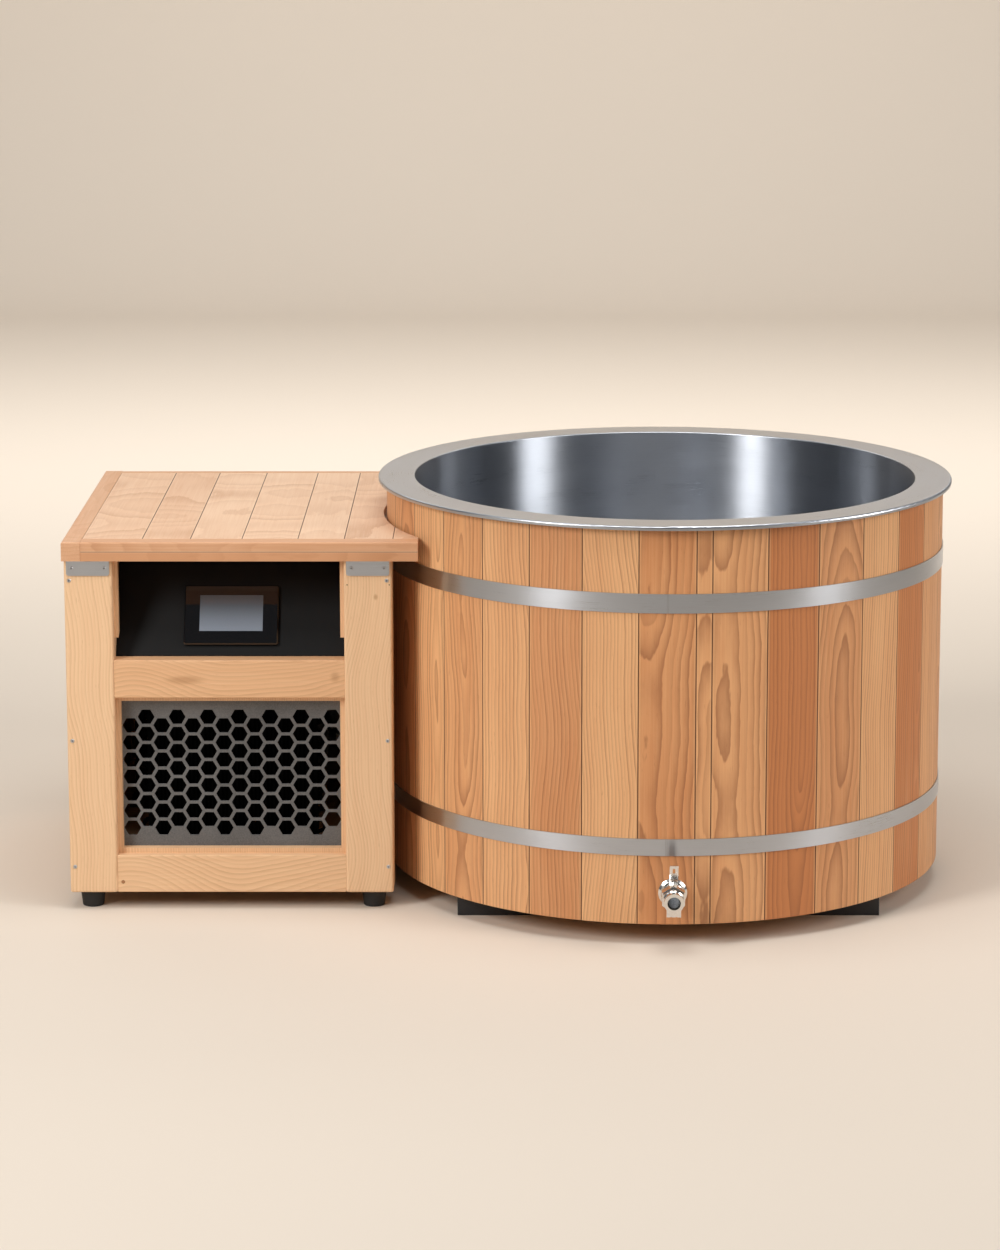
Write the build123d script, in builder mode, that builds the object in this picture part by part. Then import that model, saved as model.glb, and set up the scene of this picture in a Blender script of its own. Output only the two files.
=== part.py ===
# Wooden plunge tub: a round cedar stave tub with a stainless liner, standing beside a cedar cabinet
# that holds the water chiller. Millimetres, +Z up, origin on the floor under the middle of the tub.
# The drain valve faces -Y, the front. The cabinet stands at -X.
import os
from math import cos, degrees, radians, sin

from build123d import *

os.makedirs("parts", exist_ok=True)

# Tub
stave_outer_radius = 670.0
stave_thickness = 38.0
regular_stave_count = 32
closing_stave_width = 36.3
closing_stave_start = 4.25  # degrees to the right of the front
stave_easing = 1.2
joist_height = 50.0
joist_depth = 90.0
joist_easing = 2.0
front_joist_face = 433.0  # from the tub's middle to the outer face of the front and rear joists
front_joist_half_length = 495.0
middle_joist_half_length = 625.0
floor_board_thickness = 38.0
floor_board_count = 9
rim_height = 978.0
rim_thickness = 3.0
rim_overhang = 20.0
rim_lip_depth = 9.0
rim_corner_radius = 4.0
rim_roll_radius = 2.8  # where the rim turns down into the liner
insulation_thickness = 27.0
liner_wall_thickness = 2.5
liner_floor_thickness = 3.0
hoop_thickness = 2.5
upper_hoop_drop = 201.5  # from the rim to the hoop's lower edge
upper_hoop_height = 44.0
lower_hoop_bottom = 212.0
lower_hoop_height = 39.0

# Clearances
seat_gap = 0.3  # between curved faces and between pieces that are slipped in
pipe_hole_gap = 0.5
running_gap = 0.05  # radial, between the valve's stem, the fan's shaft and their bores

# Drain valve
drain_height = 126.0
drain_bore_radius = 13.0
drain_pipe_radius = 17.0
inner_fitting_radius = 24.0
inner_fitting_thickness = 3.0
flange_radius = 33.0
flange_thickness = 8.0
flange_bevel = 5.0
nipple_reach = 13.0  # into the valve's body, past the flange
ball_radius = 18.0
ball_distance = 45.0  # from the stave's face to the middle of the ball
socket_radius = 25.0
socket_length = 9.0
body_shoulder = 31.0
body_radius = 26.5
body_hex_radius = 30.0  # to the corners, one of which points up
cap_hex_radius = 27.5
hexagon_overlap = 2.0  # how far the cap's hexagon reaches under its round face
cap_radius = 24.0
body_front = 58.0
outlet_front = 92.0
outlet_radius = 20.0
outlet_collar_rise = 2.5
outlet_collar_length = 12.0
outlet_mouth_depth = 10.0
stem_radius = 5.0
stem_top = 47.0  # above the drain's axis
neck_radius = 10.0
neck_top = 34.0
lever_thickness = 3.0
lever_width = 20.0
lever_rise = 50.0
lever_tail = 12.0  # behind the stem
lever_flat = 13.0  # in front of the stem, before the strip turns up
lever_slope = 22.0
lever_lip = 10.0
lever_lip_radius = 6.0
lever_slot_width = 12.0
lever_slot_height = 6.0
nut_across_flats = 15.0
cap_length = 10.0
lug_half_width = 16.5
lug_thickness = 10.0
lug_drop = 36.0
lug_slot_spread = 6.0
lug_slot_width = 3.0
lug_slot_depth = 3.0
lug_slot_top = 24.0
nut_height = 6.5

# Cabinet
cabinet_width = 762.0
cabinet_tuck = 24.0  # how far the cabinet's right side reaches past the tub's left-hand tangent
cabinet_front = -388.0
cabinet_back = 533.0
post_width = 112.0
post_depth = 89.0
post_edge_radius = 6.0
post_foot_radius = 5.0
foot_height = 42.0
foot_top_radius = 30.0
foot_bottom_radius = 25.0
foot_edge_radius = 3.0
foot_inset = 48.0
lid_drop = 92.0  # from the rim to the lid's top
lid_board_thickness = 23.0
lid_batten_thickness = 22.0
lid_front_overhang = 12.0
lid_left_overhang = 4.0
lid_right_overhang = 61.0
lid_back_overhang = 12.0
lid_edge_width = 45.0
lid_front_edging_depth = 44.0
lid_rear_edging_depth = 26.0
lid_tub_gap = 8.0
lid_plank_shares = (140.0, 112.0, 120.0, 130.0, 108.0, 113.0, 59.0)  # of the width between the edges
lid_batten_width = 90.0
lid_easing = 1.0
lid_outer_radius = 4.0
rail_height = 90.0
rail_depth = 45.0
rail_setback = 4.0
rail_edge_radius = 2.5
display_opening_height = 239.0
side_rail_depth = 38.0
side_board_thickness = 18.0
side_board_count = 6
board_easing = 2.0
back_board_count = 5
cabinet_floor_thickness = 18.0
bead_width = 12.0
bead_depth = 20.0
bead_setback = 26.0
grille_thickness = 4.0
grille_columns = 14
grille_rows = 7
grille_column_pitch = 36.4
grille_row_pitch = 41.4
hexagon_across_flats = 34.6
reveal_strip_width = 10.0
reveal_strip_depth = 22.0
reveal_strip_bottom = 652.0
plate_width = 100.0
plate_height = 36.0
plate_thickness = 3.0
plate_corner_radius = 6.0
plate_screw_inset = 12.0
screw_head_radius = 4.5
screw_head_height = 1.5
screw_shank_radius = 2.0
post_screw_inset = 12.0
post_screw_heights = (105.0, 410.0, 793.0)

# Console and display
console_thickness = 3.0
console_lean = 30.0  # degrees back from upright
console_flange = 44.0
console_fold_rise = 2.0
console_top_flange = 30.0
bezel_width = 222.0
bezel_height = 146.0
bezel_thickness = 10.0
bezel_chamfer = 3.0
bezel_rise = 24.0  # up the slope from the console's foot
screen_width = 149.0
screen_height = 89.0
screen_thickness = 4.0
screen_shift = 4.0  # the screen sits this far above the bezel's middle

# Chiller
condenser_width = 400.0
condenser_height = 330.0
condenser_depth = 44.0
condenser_wall = 6.0
condenser_air_gap = 16.0
condenser_gap_count = 40
condenser_gap_depth = 5.0
condenser_bend_count = 6
condenser_bend_radius = 19.0
condenser_tube_radius = 4.0
shroud_thickness = 3.0
duct_depth = 56.0
duct_inner_radius = 150.0
fan_tip_gap = 5.0
fan_hub_radius = 34.0
fan_hub_depth = 32.0
fan_hub_clearance = 6.0
blade_root_chord = 46.0
blade_tip_chord = 84.0
shaft_length = 40.0  # in the motor
fan_blade_count = 5
fan_blade_thickness = 3.0
fan_blade_pitch = 32.0  # degrees
fan_shaft_radius = 5.0
motor_radius = 46.0
motor_length = 66.0
motor_edge_radius = 8.0
motor_boss_radius = 8.0
strut_width = 14.0
strut_depth = 6.0
compressor_radius = 74.0
compressor_height = 230.0
compressor_dome_radius = 30.0
compressor_base = (170.0, 110.0, 8.0)
compressor_from_left = 188.0
compressor_from_front = 428.0
pump_radius = 52.0
pump_length = 190.0
pump_foot_width = 80.0
pump_foot_length = 120.0
pump_from_right = 234.0
volute_radius = 68.0
volute_depth = 60.0
filter_radius = 72.0
filter_band_radius = 79.0
filter_band_height = 36.0
filter_band_drop = 60.0
filter_dome_radius = 20.0
filter_height = 520.0
filter_from_right = 204.0
back_row_from_back = 203.0
exchanger_radius = 62.0
exchanger_cap_radius = 70.0
exchanger_cap_height = 14.0
exchanger_height = 420.0
exchanger_from_left = 248.0
pipe_radius = 16.0
pipe_wall = 3.0
supply_height = 320.0
return_height = 640.0
pipe_bend_radius = 45.0
port_stub_length = 14.0
stub_radius = 22.0
control_box_size = (260.0, 60.0, 170.0)
control_box_radius = 6.0

# Levels and faces that follow from the sizes above
stave_bottom = joist_height
stave_top = rim_height - rim_thickness
stave_inner_radius = stave_outer_radius - stave_thickness
liner_outer_radius = stave_inner_radius - insulation_thickness
liner_inner_radius = liner_outer_radius - liner_wall_thickness
rim_outer_radius = stave_outer_radius + rim_overhang
upper_hoop_bottom = rim_height - upper_hoop_drop
cabinet_right = cabinet_tuck - stave_outer_radius
cabinet_left = cabinet_right - cabinet_width
lid_top = rim_height - lid_drop
floor_top = joist_height + floor_board_thickness
liner_floor_top = floor_top + liner_floor_thickness
hoop_inner_radius = stave_outer_radius + seat_gap
bore_radius = drain_pipe_radius + pipe_hole_gap
lid_bottom = lid_top - lid_board_thickness - lid_batten_thickness
lid_board_bottom = lid_top - lid_board_thickness
lid_left = cabinet_left - lid_left_overhang
lid_right = cabinet_right + lid_right_overhang
lid_front = cabinet_front - lid_front_overhang
lid_back = cabinet_back + lid_back_overhang
bottom_rail_top = foot_height + rail_height
mid_rail_top = lid_bottom - display_opening_height
mid_rail_bottom = mid_rail_top - rail_height
inner_left = cabinet_left + post_width
inner_right = cabinet_right - post_width
inner_front = cabinet_front + post_depth
inner_back = cabinet_back - post_depth
rail_front = cabinet_front + rail_setback
rail_back = rail_front + rail_depth
cabinet_floor_top = bottom_rail_top + cabinet_floor_thickness
cabinet_middle = (cabinet_left + cabinet_right) / 2
right_rail_outer = -(stave_outer_radius + 14.0)  # the right-hand rails pass clear of the staves
right_rail_inner = right_rail_outer - side_rail_depth
left_rail_outer = cabinet_left + rail_setback
left_rail_inner = left_rail_outer + side_rail_depth
rear_rail_outer = cabinet_back - rail_setback
rear_rail_inner = rear_rail_outer - rail_depth
bead_front = cabinet_front + bead_setback
grille_front = bead_front + bead_depth
condenser_front = grille_front + grille_thickness + condenser_air_gap
condenser_back = condenser_front + condenser_depth
compressor_place = (cabinet_left + compressor_from_left, cabinet_front + compressor_from_front)
pump_place = (cabinet_right - pump_from_right, 0.0)
filter_place = (cabinet_right - filter_from_right, cabinet_back - back_row_from_back)
exchanger_place = (cabinet_left + exchanger_from_left, cabinet_back - back_row_from_back)
upright = (Align.CENTER, Align.CENTER, Align.MIN)


def box_between(low, high, mode=Mode.ADD):
    """A block between two corners, in the part being built."""
    middle = tuple((a + b) / 2 for a, b in zip(low, high))
    with Locations(middle):
        Box(high[0] - low[0], high[1] - low[1], high[2] - low[2], mode=mode)


def block(low, high, eased=False):
    """A block between two corners as a piece of its own, its long front edges eased on request."""
    with BuildPart() as piece:
        box_between(low, high)
        if eased:
            fillet(piece.edges().filter_by(Axis.X).group_by(Axis.Y)[0], rail_edge_radius)
    return piece.part


def outward_hole(radius, height, direction, reach=stave_outer_radius + 1.0):
    """A round hole at a height, drilled from the tub's middle out to a reach."""
    with Locations(Plane(origin=(0, 0, height), z_dir=direction)):
        Cylinder(radius, reach, align=upright, mode=Mode.SUBTRACT)


front = (0, -1, 0)
cabinet_side = (-1, 0, 0)


def make_stave(start, end, hole_radius=0.0, heights=(), direction=front):
    """One upright stave between two seam angles, counted in degrees rightwards from the front."""
    with BuildPart() as stave:
        with BuildSketch(Plane.XY.offset(stave_bottom)):
            with BuildLine():
                outer = CenterArc((0, 0), stave_outer_radius, start - 90, end - start)
                inner = CenterArc((0, 0), stave_inner_radius, start - 90, end - start)
                Line(outer @ 0, inner @ 0)
                Line(outer @ 1, inner @ 1)
            make_face()
        extrude(amount=stave_top - stave_bottom)
        uprights = stave.edges().filter_by(Axis.Z)
        chamfer(uprights.sort_by_distance((0, 0, stave_bottom))[-2:], stave_easing)
        for height in heights:
            outward_hole(hole_radius, height, direction)
    return stave.part


# Staves: the regular ones share the circle that the narrow closing stave leaves
closing_angle = degrees(closing_stave_width / stave_outer_radius)
regular_angle = (360 - closing_angle) / regular_stave_count
closing_end = closing_stave_start + closing_angle
port_stave_index = int((270 - closing_end) // regular_angle)
drain_stave_index = regular_stave_count - 1
port_radius = pipe_radius + pipe_hole_gap
quarter = regular_stave_count // 4


def stave_run(first, last):
    """The regular staves with these indices, as a list of separate solids."""
    staves = []
    for index in range(first, last):
        start = closing_end + index * regular_angle
        if index == port_stave_index:
            ports = (supply_height, return_height)
            staves.append(make_stave(start, start + regular_angle, port_radius, ports, cabinet_side))
        else:
            staves.append(make_stave(start, start + regular_angle))
    return staves


drain_start = closing_end + drain_stave_index * regular_angle
drain_stave = make_stave(drain_start, drain_start + regular_angle, bore_radius, (drain_height,))
drain_stave.label = "drain_stave"
export_step(drain_stave, "parts/drain_stave.step")

closing_stave = make_stave(closing_stave_start, closing_end)
closing_stave.label = "closing_stave"
export_step(closing_stave, "parts/closing_stave.step")

stave_groups = (
    ("front_right_staves", 0, quarter),
    ("rear_right_staves", quarter, 2 * quarter),
    ("rear_left_staves", 2 * quarter, 3 * quarter),
    ("front_left_staves", 3 * quarter, drain_stave_index),
)
for group_name, first, last in stave_groups:
    group = Compound(label=group_name, children=stave_run(first, last))
    export_step(group, f"parts/{group_name}.step")

# Hoops
for hoop_name, hoop_bottom, hoop_height in (
    ("upper_hoop", upper_hoop_bottom, upper_hoop_height),
    ("lower_hoop", lower_hoop_bottom, lower_hoop_height),
):
    with BuildPart() as hoop:
        with BuildSketch(Plane.XY.offset(hoop_bottom)):
            Circle(hoop_inner_radius + hoop_thickness)
            Circle(hoop_inner_radius, mode=Mode.SUBTRACT)
        extrude(amount=hoop_height)
    hoop.part.label = hoop_name
    export_step(hoop.part, f"parts/{hoop_name}.step")

# Liner: a rolled wall, a floor pan and a flat rim with a turned-down lip
with BuildPart() as liner_wall:
    with BuildSketch(Plane.XY.offset(liner_floor_top)):
        Circle(liner_outer_radius)
        Circle(liner_inner_radius, mode=Mode.SUBTRACT)
    extrude(amount=stave_top - liner_floor_top)
    outward_hole(bore_radius, drain_height, front)
    outward_hole(port_radius, supply_height, cabinet_side)
    outward_hole(port_radius, return_height, cabinet_side)
liner_wall.part.label = "liner_wall"
export_step(liner_wall.part, "parts/liner_wall.step")

with BuildPart() as liner_floor:
    with BuildSketch(Plane.XY.offset(floor_top)):
        Circle(liner_outer_radius)
    extrude(amount=liner_floor_thickness)
liner_floor.part.label = "liner_floor"
export_step(liner_floor.part, "parts/liner_floor.step")

with BuildPart() as rim_flange:
    with BuildSketch(Plane.XZ):
        with BuildLine():
            lip_bottom = rim_height - rim_lip_depth
            roll = RadiusArc(
                (liner_inner_radius, rim_height - rim_roll_radius),
                (liner_inner_radius + rim_roll_radius, rim_height),
                rim_roll_radius,
            )
            top = Line(roll @ 1, (rim_outer_radius - rim_corner_radius, rim_height))
            corner = RadiusArc(top @ 1, (rim_outer_radius, rim_height - rim_corner_radius), rim_corner_radius)
            outside = Line(corner @ 1, (rim_outer_radius, lip_bottom))
            under = Line(outside @ 1, (rim_outer_radius - rim_thickness, lip_bottom))
            inside = Line(under @ 1, (rim_outer_radius - rim_thickness, stave_top))
            seat = Line(inside @ 1, (liner_inner_radius, stave_top))
            Line(seat @ 1, roll @ 0)
        make_face()
    revolve(axis=Axis.Z)
rim_flange.part.label = "rim_flange"
export_step(rim_flange.part, "parts/rim_flange.step")

# Insulation between the liner and the staves
with BuildPart() as wall_insulation:
    with BuildSketch(Plane.XY.offset(floor_top)):
        Circle(stave_inner_radius - seat_gap)
        Circle(liner_outer_radius + seat_gap, mode=Mode.SUBTRACT)
    extrude(amount=stave_top - floor_top)
    outward_hole(bore_radius, drain_height, front)
    outward_hole(port_radius, supply_height, cabinet_side)
    outward_hole(port_radius, return_height, cabinet_side)
wall_insulation.part.label = "wall_insulation"
export_step(wall_insulation.part, "parts/wall_insulation.step")

# Floor boards run from front to back over the joists, cut to the inside of the stave ring
floor_radius = stave_inner_radius - seat_gap
floor_board_width = 2 * floor_radius / floor_board_count
floor_boards = []
for index in range(floor_board_count):
    board_middle = (index - (floor_board_count - 1) / 2) * floor_board_width
    with BuildPart() as floor_board:
        with BuildSketch(Plane.XY.offset(joist_height)):
            Circle(floor_radius)
            with Locations((board_middle, 0)):
                Rectangle(floor_board_width, 2 * floor_radius, mode=Mode.INTERSECT)
        extrude(amount=floor_board_thickness)
    floor_boards.append(floor_board.part)
floor_group = Compound(label="floor_boards", children=floor_boards)
export_step(floor_group, "parts/floor_boards.step")

for joist_name, joist_middle, half_length in (
    ("front_joist", -front_joist_face + joist_depth / 2, front_joist_half_length),
    ("middle_joist", 0.0, middle_joist_half_length),
    ("rear_joist", front_joist_face - joist_depth / 2, front_joist_half_length),
):
    with BuildPart() as joist:
        with Locations((0, joist_middle, 0)):
            Box(2 * half_length, joist_depth, joist_height, align=upright)
        chamfer(joist.edges().filter_by(Axis.Z), joist_easing)
    joist.part.label = joist_name
    export_step(joist.part, f"parts/{joist_name}.step")

# Drain valve: its profiles are drawn outwards from the stave's face and upwards from the drain's axis
valve_side = Plane(origin=(0, -stave_outer_radius, drain_height), x_dir=(0, -1, 0), z_dir=(-1, 0, 0))
valve_axis = Axis((0, -stave_outer_radius, drain_height), (0, -1, 0))
stem_foot = Plane(origin=(0, -stave_outer_radius - ball_distance, drain_height))
liner_depth = stave_outer_radius - liner_inner_radius
nipple_end = flange_thickness + nipple_reach
body_socket = flange_thickness + seat_gap


def across_valve(distance):
    """A plane across the valve's axis, this far in front of the staves, with X to the right."""
    return Plane(origin=(0, -stave_outer_radius - distance, drain_height), x_dir=(1, 0, 0), z_dir=front)


with BuildPart() as wall_flange:
    with BuildSketch(valve_side):
        with BuildLine():
            Polyline(
                (seat_gap, drain_pipe_radius + running_gap),
                (seat_gap, flange_radius),
                (flange_thickness / 2, flange_radius),
                (flange_thickness, flange_radius - flange_bevel),
                (flange_thickness, drain_pipe_radius + running_gap),
                close=True,
            )
        make_face()
    revolve(axis=valve_axis)
wall_flange.part.label = "wall_flange"
export_step(wall_flange.part, "parts/wall_flange.step")

fitting_face = liner_depth + inner_fitting_radius**2 / (2 * liner_inner_radius) + seat_gap
with BuildPart() as drain_nipple:
    with BuildSketch(valve_side):
        with BuildLine():
            Polyline(
                (-fitting_face - inner_fitting_thickness, drain_bore_radius),
                (-fitting_face - inner_fitting_thickness, inner_fitting_radius),
                (-fitting_face, inner_fitting_radius),
                (-fitting_face, drain_pipe_radius),
                (nipple_end, drain_pipe_radius),
                (nipple_end, drain_bore_radius),
                close=True,
            )
        make_face()
    revolve(axis=valve_axis)
drain_nipple.part.label = "drain_nipple"
export_step(drain_nipple.part, "parts/drain_nipple.step")

seat_radius = ball_radius + seat_gap
with BuildPart() as valve_body:
    with BuildSketch(valve_side):
        with BuildLine():
            Polyline(
                (body_socket, 0),
                (body_socket, socket_radius),
                (body_socket + socket_length, socket_radius),
                (body_socket + socket_length + 3.0, socket_radius - 3.0),
                (body_shoulder, body_radius),
                (body_front, body_radius),
                (body_front, 0),
                close=True,
            )
        make_face()
    revolve(axis=valve_axis)
    with BuildSketch(across_valve(body_shoulder)):
        RegularPolygon(body_hex_radius, 6, rotation=90)
    extrude(amount=body_front - body_shoulder)
    with BuildSketch(stem_foot):
        Circle(neck_radius)
    extrude(amount=neck_top)
    with BuildSketch(valve_side):
        with BuildLine():
            Polyline(
                (body_socket, 0),
                (body_socket, drain_pipe_radius + running_gap),
                (nipple_end + seat_gap, drain_pipe_radius + running_gap),
                (nipple_end + seat_gap, drain_bore_radius),
                (ball_distance, drain_bore_radius),
                (ball_distance, seat_radius),
                (body_front, seat_radius),
                (body_front, 0),
                close=True,
            )
        make_face()
    revolve(axis=valve_axis, mode=Mode.SUBTRACT)
    with Locations(stem_foot.origin):
        Sphere(seat_radius, mode=Mode.SUBTRACT)
    with BuildSketch(stem_foot):
        Circle(stem_radius + running_gap)
    extrude(amount=neck_top + 1.0, mode=Mode.SUBTRACT)
valve_body.part.label = "valve_body"
export_step(valve_body.part, "parts/valve_body.step")

with BuildPart() as valve_ball:
    with Locations(stem_foot.origin):
        Sphere(ball_radius)
    with BuildSketch(Plane(origin=(0, -stave_outer_radius, drain_height), z_dir=front)):
        Circle(drain_bore_radius)
    extrude(amount=ball_distance + ball_radius + 1.0, mode=Mode.SUBTRACT)
    with BuildSketch(stem_foot.offset(ball_radius - 3.0)):
        Circle(stem_radius)
    extrude(amount=ball_radius, mode=Mode.SUBTRACT)
valve_ball.part.label = "valve_ball"
export_step(valve_ball.part, "parts/valve_ball.step")

with BuildPart() as valve_stem:
    with BuildSketch(stem_foot.offset(ball_radius - 3.0)):
        Circle(stem_radius)
    extrude(amount=stem_top - ball_radius + 3.0)
    chamfer(valve_stem.faces().sort_by(Axis.Z)[-1].edges(), 1.0)
valve_stem.part.label = "valve_stem"
export_step(valve_stem.part, "parts/valve_stem.step")

# The outlet end closes the body over the ball; its lug below takes the drain hose's clip
mouth_radius = drain_bore_radius + 2.0
cap_front = body_front + cap_length
collar_start = outlet_front - outlet_collar_length
with BuildPart() as outlet_end:
    with BuildSketch(valve_side):
        with BuildLine():
            Polyline(
                (ball_distance + ball_radius / 2, drain_bore_radius),
                (ball_distance + ball_radius / 2, seat_radius - running_gap),
                (body_front + seat_gap, seat_radius - running_gap),
                (body_front + seat_gap, cap_radius),
                (cap_front, cap_radius),
                (cap_front + cap_radius - outlet_radius, outlet_radius),
                (collar_start - outlet_collar_rise, outlet_radius),
                (collar_start, outlet_radius + outlet_collar_rise),
                (outlet_front, outlet_radius + outlet_collar_rise),
                (outlet_front, mouth_radius),
                (outlet_front - outlet_mouth_depth, drain_bore_radius),
                close=True,
            )
        make_face()
    revolve(axis=valve_axis)
    with BuildSketch(across_valve(body_front + seat_gap)):
        RegularPolygon(cap_hex_radius, 6, rotation=90)
        Circle(cap_radius - hexagon_overlap, mode=Mode.SUBTRACT)
    extrude(amount=cap_length)
    with Locations(stem_foot.origin):
        Sphere(seat_radius, mode=Mode.SUBTRACT)
    lug_back = -stave_outer_radius - cap_front
    box_between(
        (-lug_half_width, lug_back - lug_thickness, drain_height - lug_drop),
        (lug_half_width, lug_back, drain_height - outlet_radius + 2.0),
    )
    lug_face = lug_back - lug_thickness
    for slot_middle in (-lug_slot_spread, lug_slot_spread):
        slot_left = slot_middle - lug_slot_width / 2
        slot_right = slot_middle + lug_slot_width / 2
        box_between(
            (slot_left, lug_face - 1.0, drain_height - lug_drop - 1.0),
            (slot_right, lug_face + lug_slot_depth, drain_height - lug_slot_top),
            mode=Mode.SUBTRACT,
        )
outlet_end.part.label = "outlet_end"
export_step(outlet_end.part, "parts/outlet_end.step")

# Lever: a bent strip that stands up in front of the stem, with a slot near its top
lever_seat = neck_top + seat_gap
lever_knee = ball_distance + lever_flat
lever_tip = lever_knee + lever_slope
lever_heel = ball_distance - lever_tail
with BuildPart() as valve_lever:
    with BuildSketch(valve_side):
        with BuildLine():
            Polyline(
                (lever_heel, lever_seat),
                (lever_knee, lever_seat),
                (lever_tip - 4.0, lever_seat + lever_rise - lever_thickness),
                (lever_tip + lever_lip, lever_seat + lever_rise),
                (lever_tip + lever_lip, lever_seat + lever_rise + lever_thickness),
                (lever_tip - 6.0, lever_seat + lever_rise),
                (lever_knee - 2.0, lever_seat + lever_thickness),
                (lever_heel, lever_seat + lever_thickness),
                close=True,
            )
        make_face()
    extrude(amount=lever_width / 2, both=True)
    fillet(valve_lever.edges().filter_by(Axis.Z).group_by(Axis.Y)[-1], lever_lip_radius)
    with BuildSketch(stem_foot.offset(lever_seat)):
        Circle(stem_radius)
    extrude(amount=lever_thickness, mode=Mode.SUBTRACT)
    slot_height = lever_seat + lever_rise - 14.0
    with BuildSketch(Plane(origin=(0, -stave_outer_radius, drain_height + slot_height), z_dir=front)):
        RectangleRounded(lever_slot_width, lever_slot_height, 2.0)
    extrude(amount=lever_tip + 20.0, mode=Mode.SUBTRACT)
valve_lever.part.label = "valve_lever"
export_step(valve_lever.part, "parts/valve_lever.step")

with BuildPart() as lever_nut:
    with BuildSketch(stem_foot.offset(lever_seat + lever_thickness)):
        RegularPolygon(nut_across_flats / 2, 6, major_radius=False)
        Circle(stem_radius, mode=Mode.SUBTRACT)
    extrude(amount=nut_height)
lever_nut.part.label = "lever_nut"
export_step(lever_nut.part, "parts/lever_nut.step")

# Cabinet frame: four corner posts and the rails between them
posts = {}
for post_name, post_left, post_front in (
    ("front_left_post", cabinet_left, cabinet_front),
    ("front_right_post", inner_right, cabinet_front),
    ("rear_posts", cabinet_left, inner_back),
    ("rear_posts", inner_right, inner_back),
):
    with BuildPart() as post:
        with BuildSketch(Plane.XZ.offset(-post_front)):
            with Locations((post_left + post_width / 2, (foot_height + lid_bottom) / 2)):
                Rectangle(post_width, lid_bottom - foot_height)
        extrude(amount=-post_depth)
        fillet(post.edges().filter_by(Axis.Z), post_edge_radius)
        fillet(post.faces().sort_by(Axis.Z)[0].edges(), post_foot_radius)
    posts.setdefault(post_name, []).append(post.part)
for post_name, solids in posts.items():
    post_group = Compound(label=post_name, children=solids)
    export_step(post_group, f"parts/{post_name}.step")

mid_rail = block(
    (inner_left, rail_front, mid_rail_bottom), (inner_right, rail_back, mid_rail_top), eased=True
)
mid_rail.label = "mid_rail"
export_step(mid_rail, "parts/mid_rail.step")

front_bottom_rail = block(
    (inner_left, rail_front, foot_height), (inner_right, rail_back, bottom_rail_top), eased=True
)
front_bottom_rail.label = "front_bottom_rail"
export_step(front_bottom_rail, "parts/front_bottom_rail.step")

top_rail_bottom = lid_bottom - rail_height
rail_levels = ((foot_height, bottom_rail_top), (top_rail_bottom, lid_bottom))
rail_places = {
    "left_rails": ((left_rail_outer, inner_front), (left_rail_inner, inner_back)),
    "right_rails": ((right_rail_inner, inner_front), (right_rail_outer, inner_back)),
    "rear_rails": ((inner_left, rear_rail_inner), (inner_right, rear_rail_outer)),
}
for rail_group_name, (near, far) in rail_places.items():
    solids = [block((*near, low), (*far, high)) for low, high in rail_levels]
    rail_group = Compound(label=rail_group_name, children=solids)
    export_step(rail_group, f"parts/{rail_group_name}.step")

# Cabinet floor: notched round the posts, lying on the bottom rails
rear_board_inner = rear_rail_inner - side_board_thickness
with BuildPart() as cabinet_floor:
    with BuildSketch(Plane.XY.offset(bottom_rail_top)):
        floor_front = grille_front + grille_thickness + seat_gap
        with Locations(((left_rail_outer + right_rail_outer) / 2, (floor_front + rear_rail_outer) / 2)):
            Rectangle(right_rail_outer - left_rail_outer, rear_rail_outer - floor_front)
        for notch_x in (cabinet_left + post_width / 2, cabinet_right - post_width / 2):
            for notch_y in (cabinet_front + post_depth / 2, cabinet_back - post_depth / 2):
                with Locations((notch_x, notch_y)):
                    Rectangle(post_width, post_depth, mode=Mode.SUBTRACT)
    extrude(amount=cabinet_floor_thickness)
cabinet_floor.part.label = "cabinet_floor"
export_step(cabinet_floor.part, "parts/cabinet_floor.step")

# Side and back boards stand on the floor, inside the rails
side_board_width = (inner_back - inner_front) / side_board_count
back_board_width = (inner_right - inner_left) / back_board_count
left_board_inner = left_rail_inner + side_board_thickness
right_board_inner = right_rail_inner - side_board_thickness


def upright_board(low_xy, high_xy, grooves):
    """One upright board from the cabinet's floor to the lid, its long outer edges eased."""
    with BuildPart() as board:
        box_between((*low_xy, cabinet_floor_top), (*high_xy, lid_bottom))
        eased = board.edges().filter_by(Axis.Z).sort_by(grooves)[:2]
        chamfer(eased, board_easing)
    return board.part


left_boards = []
right_boards = []
for index in range(side_board_count):
    start = inner_front + index * side_board_width
    end = start + side_board_width
    left_boards.append(upright_board((left_rail_inner, start), (left_board_inner, end), Axis.X))
    right_board = upright_board((right_board_inner, start), (right_rail_inner, end), -Axis.X)
    for height in (supply_height, return_height):
        if start < 0 < end:
            with BuildPart() as drilled:
                add(right_board)
                outward_hole(port_radius, height, cabinet_side, reach=1.0 - right_board_inner)
            right_board = drilled.part
    right_boards.append(right_board)
back_boards = []
for index in range(back_board_count):
    start = inner_left + index * back_board_width
    end = start + back_board_width
    back_boards.append(upright_board((start, rear_board_inner), (end, rear_rail_inner), -Axis.Y))
for board_group_name, boards in (
    ("left_boards", left_boards),
    ("right_boards", right_boards),
    ("back_boards", back_boards),
):
    board_group = Compound(label=board_group_name, children=boards)
    export_step(board_group, f"parts/{board_group_name}.step")

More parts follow.
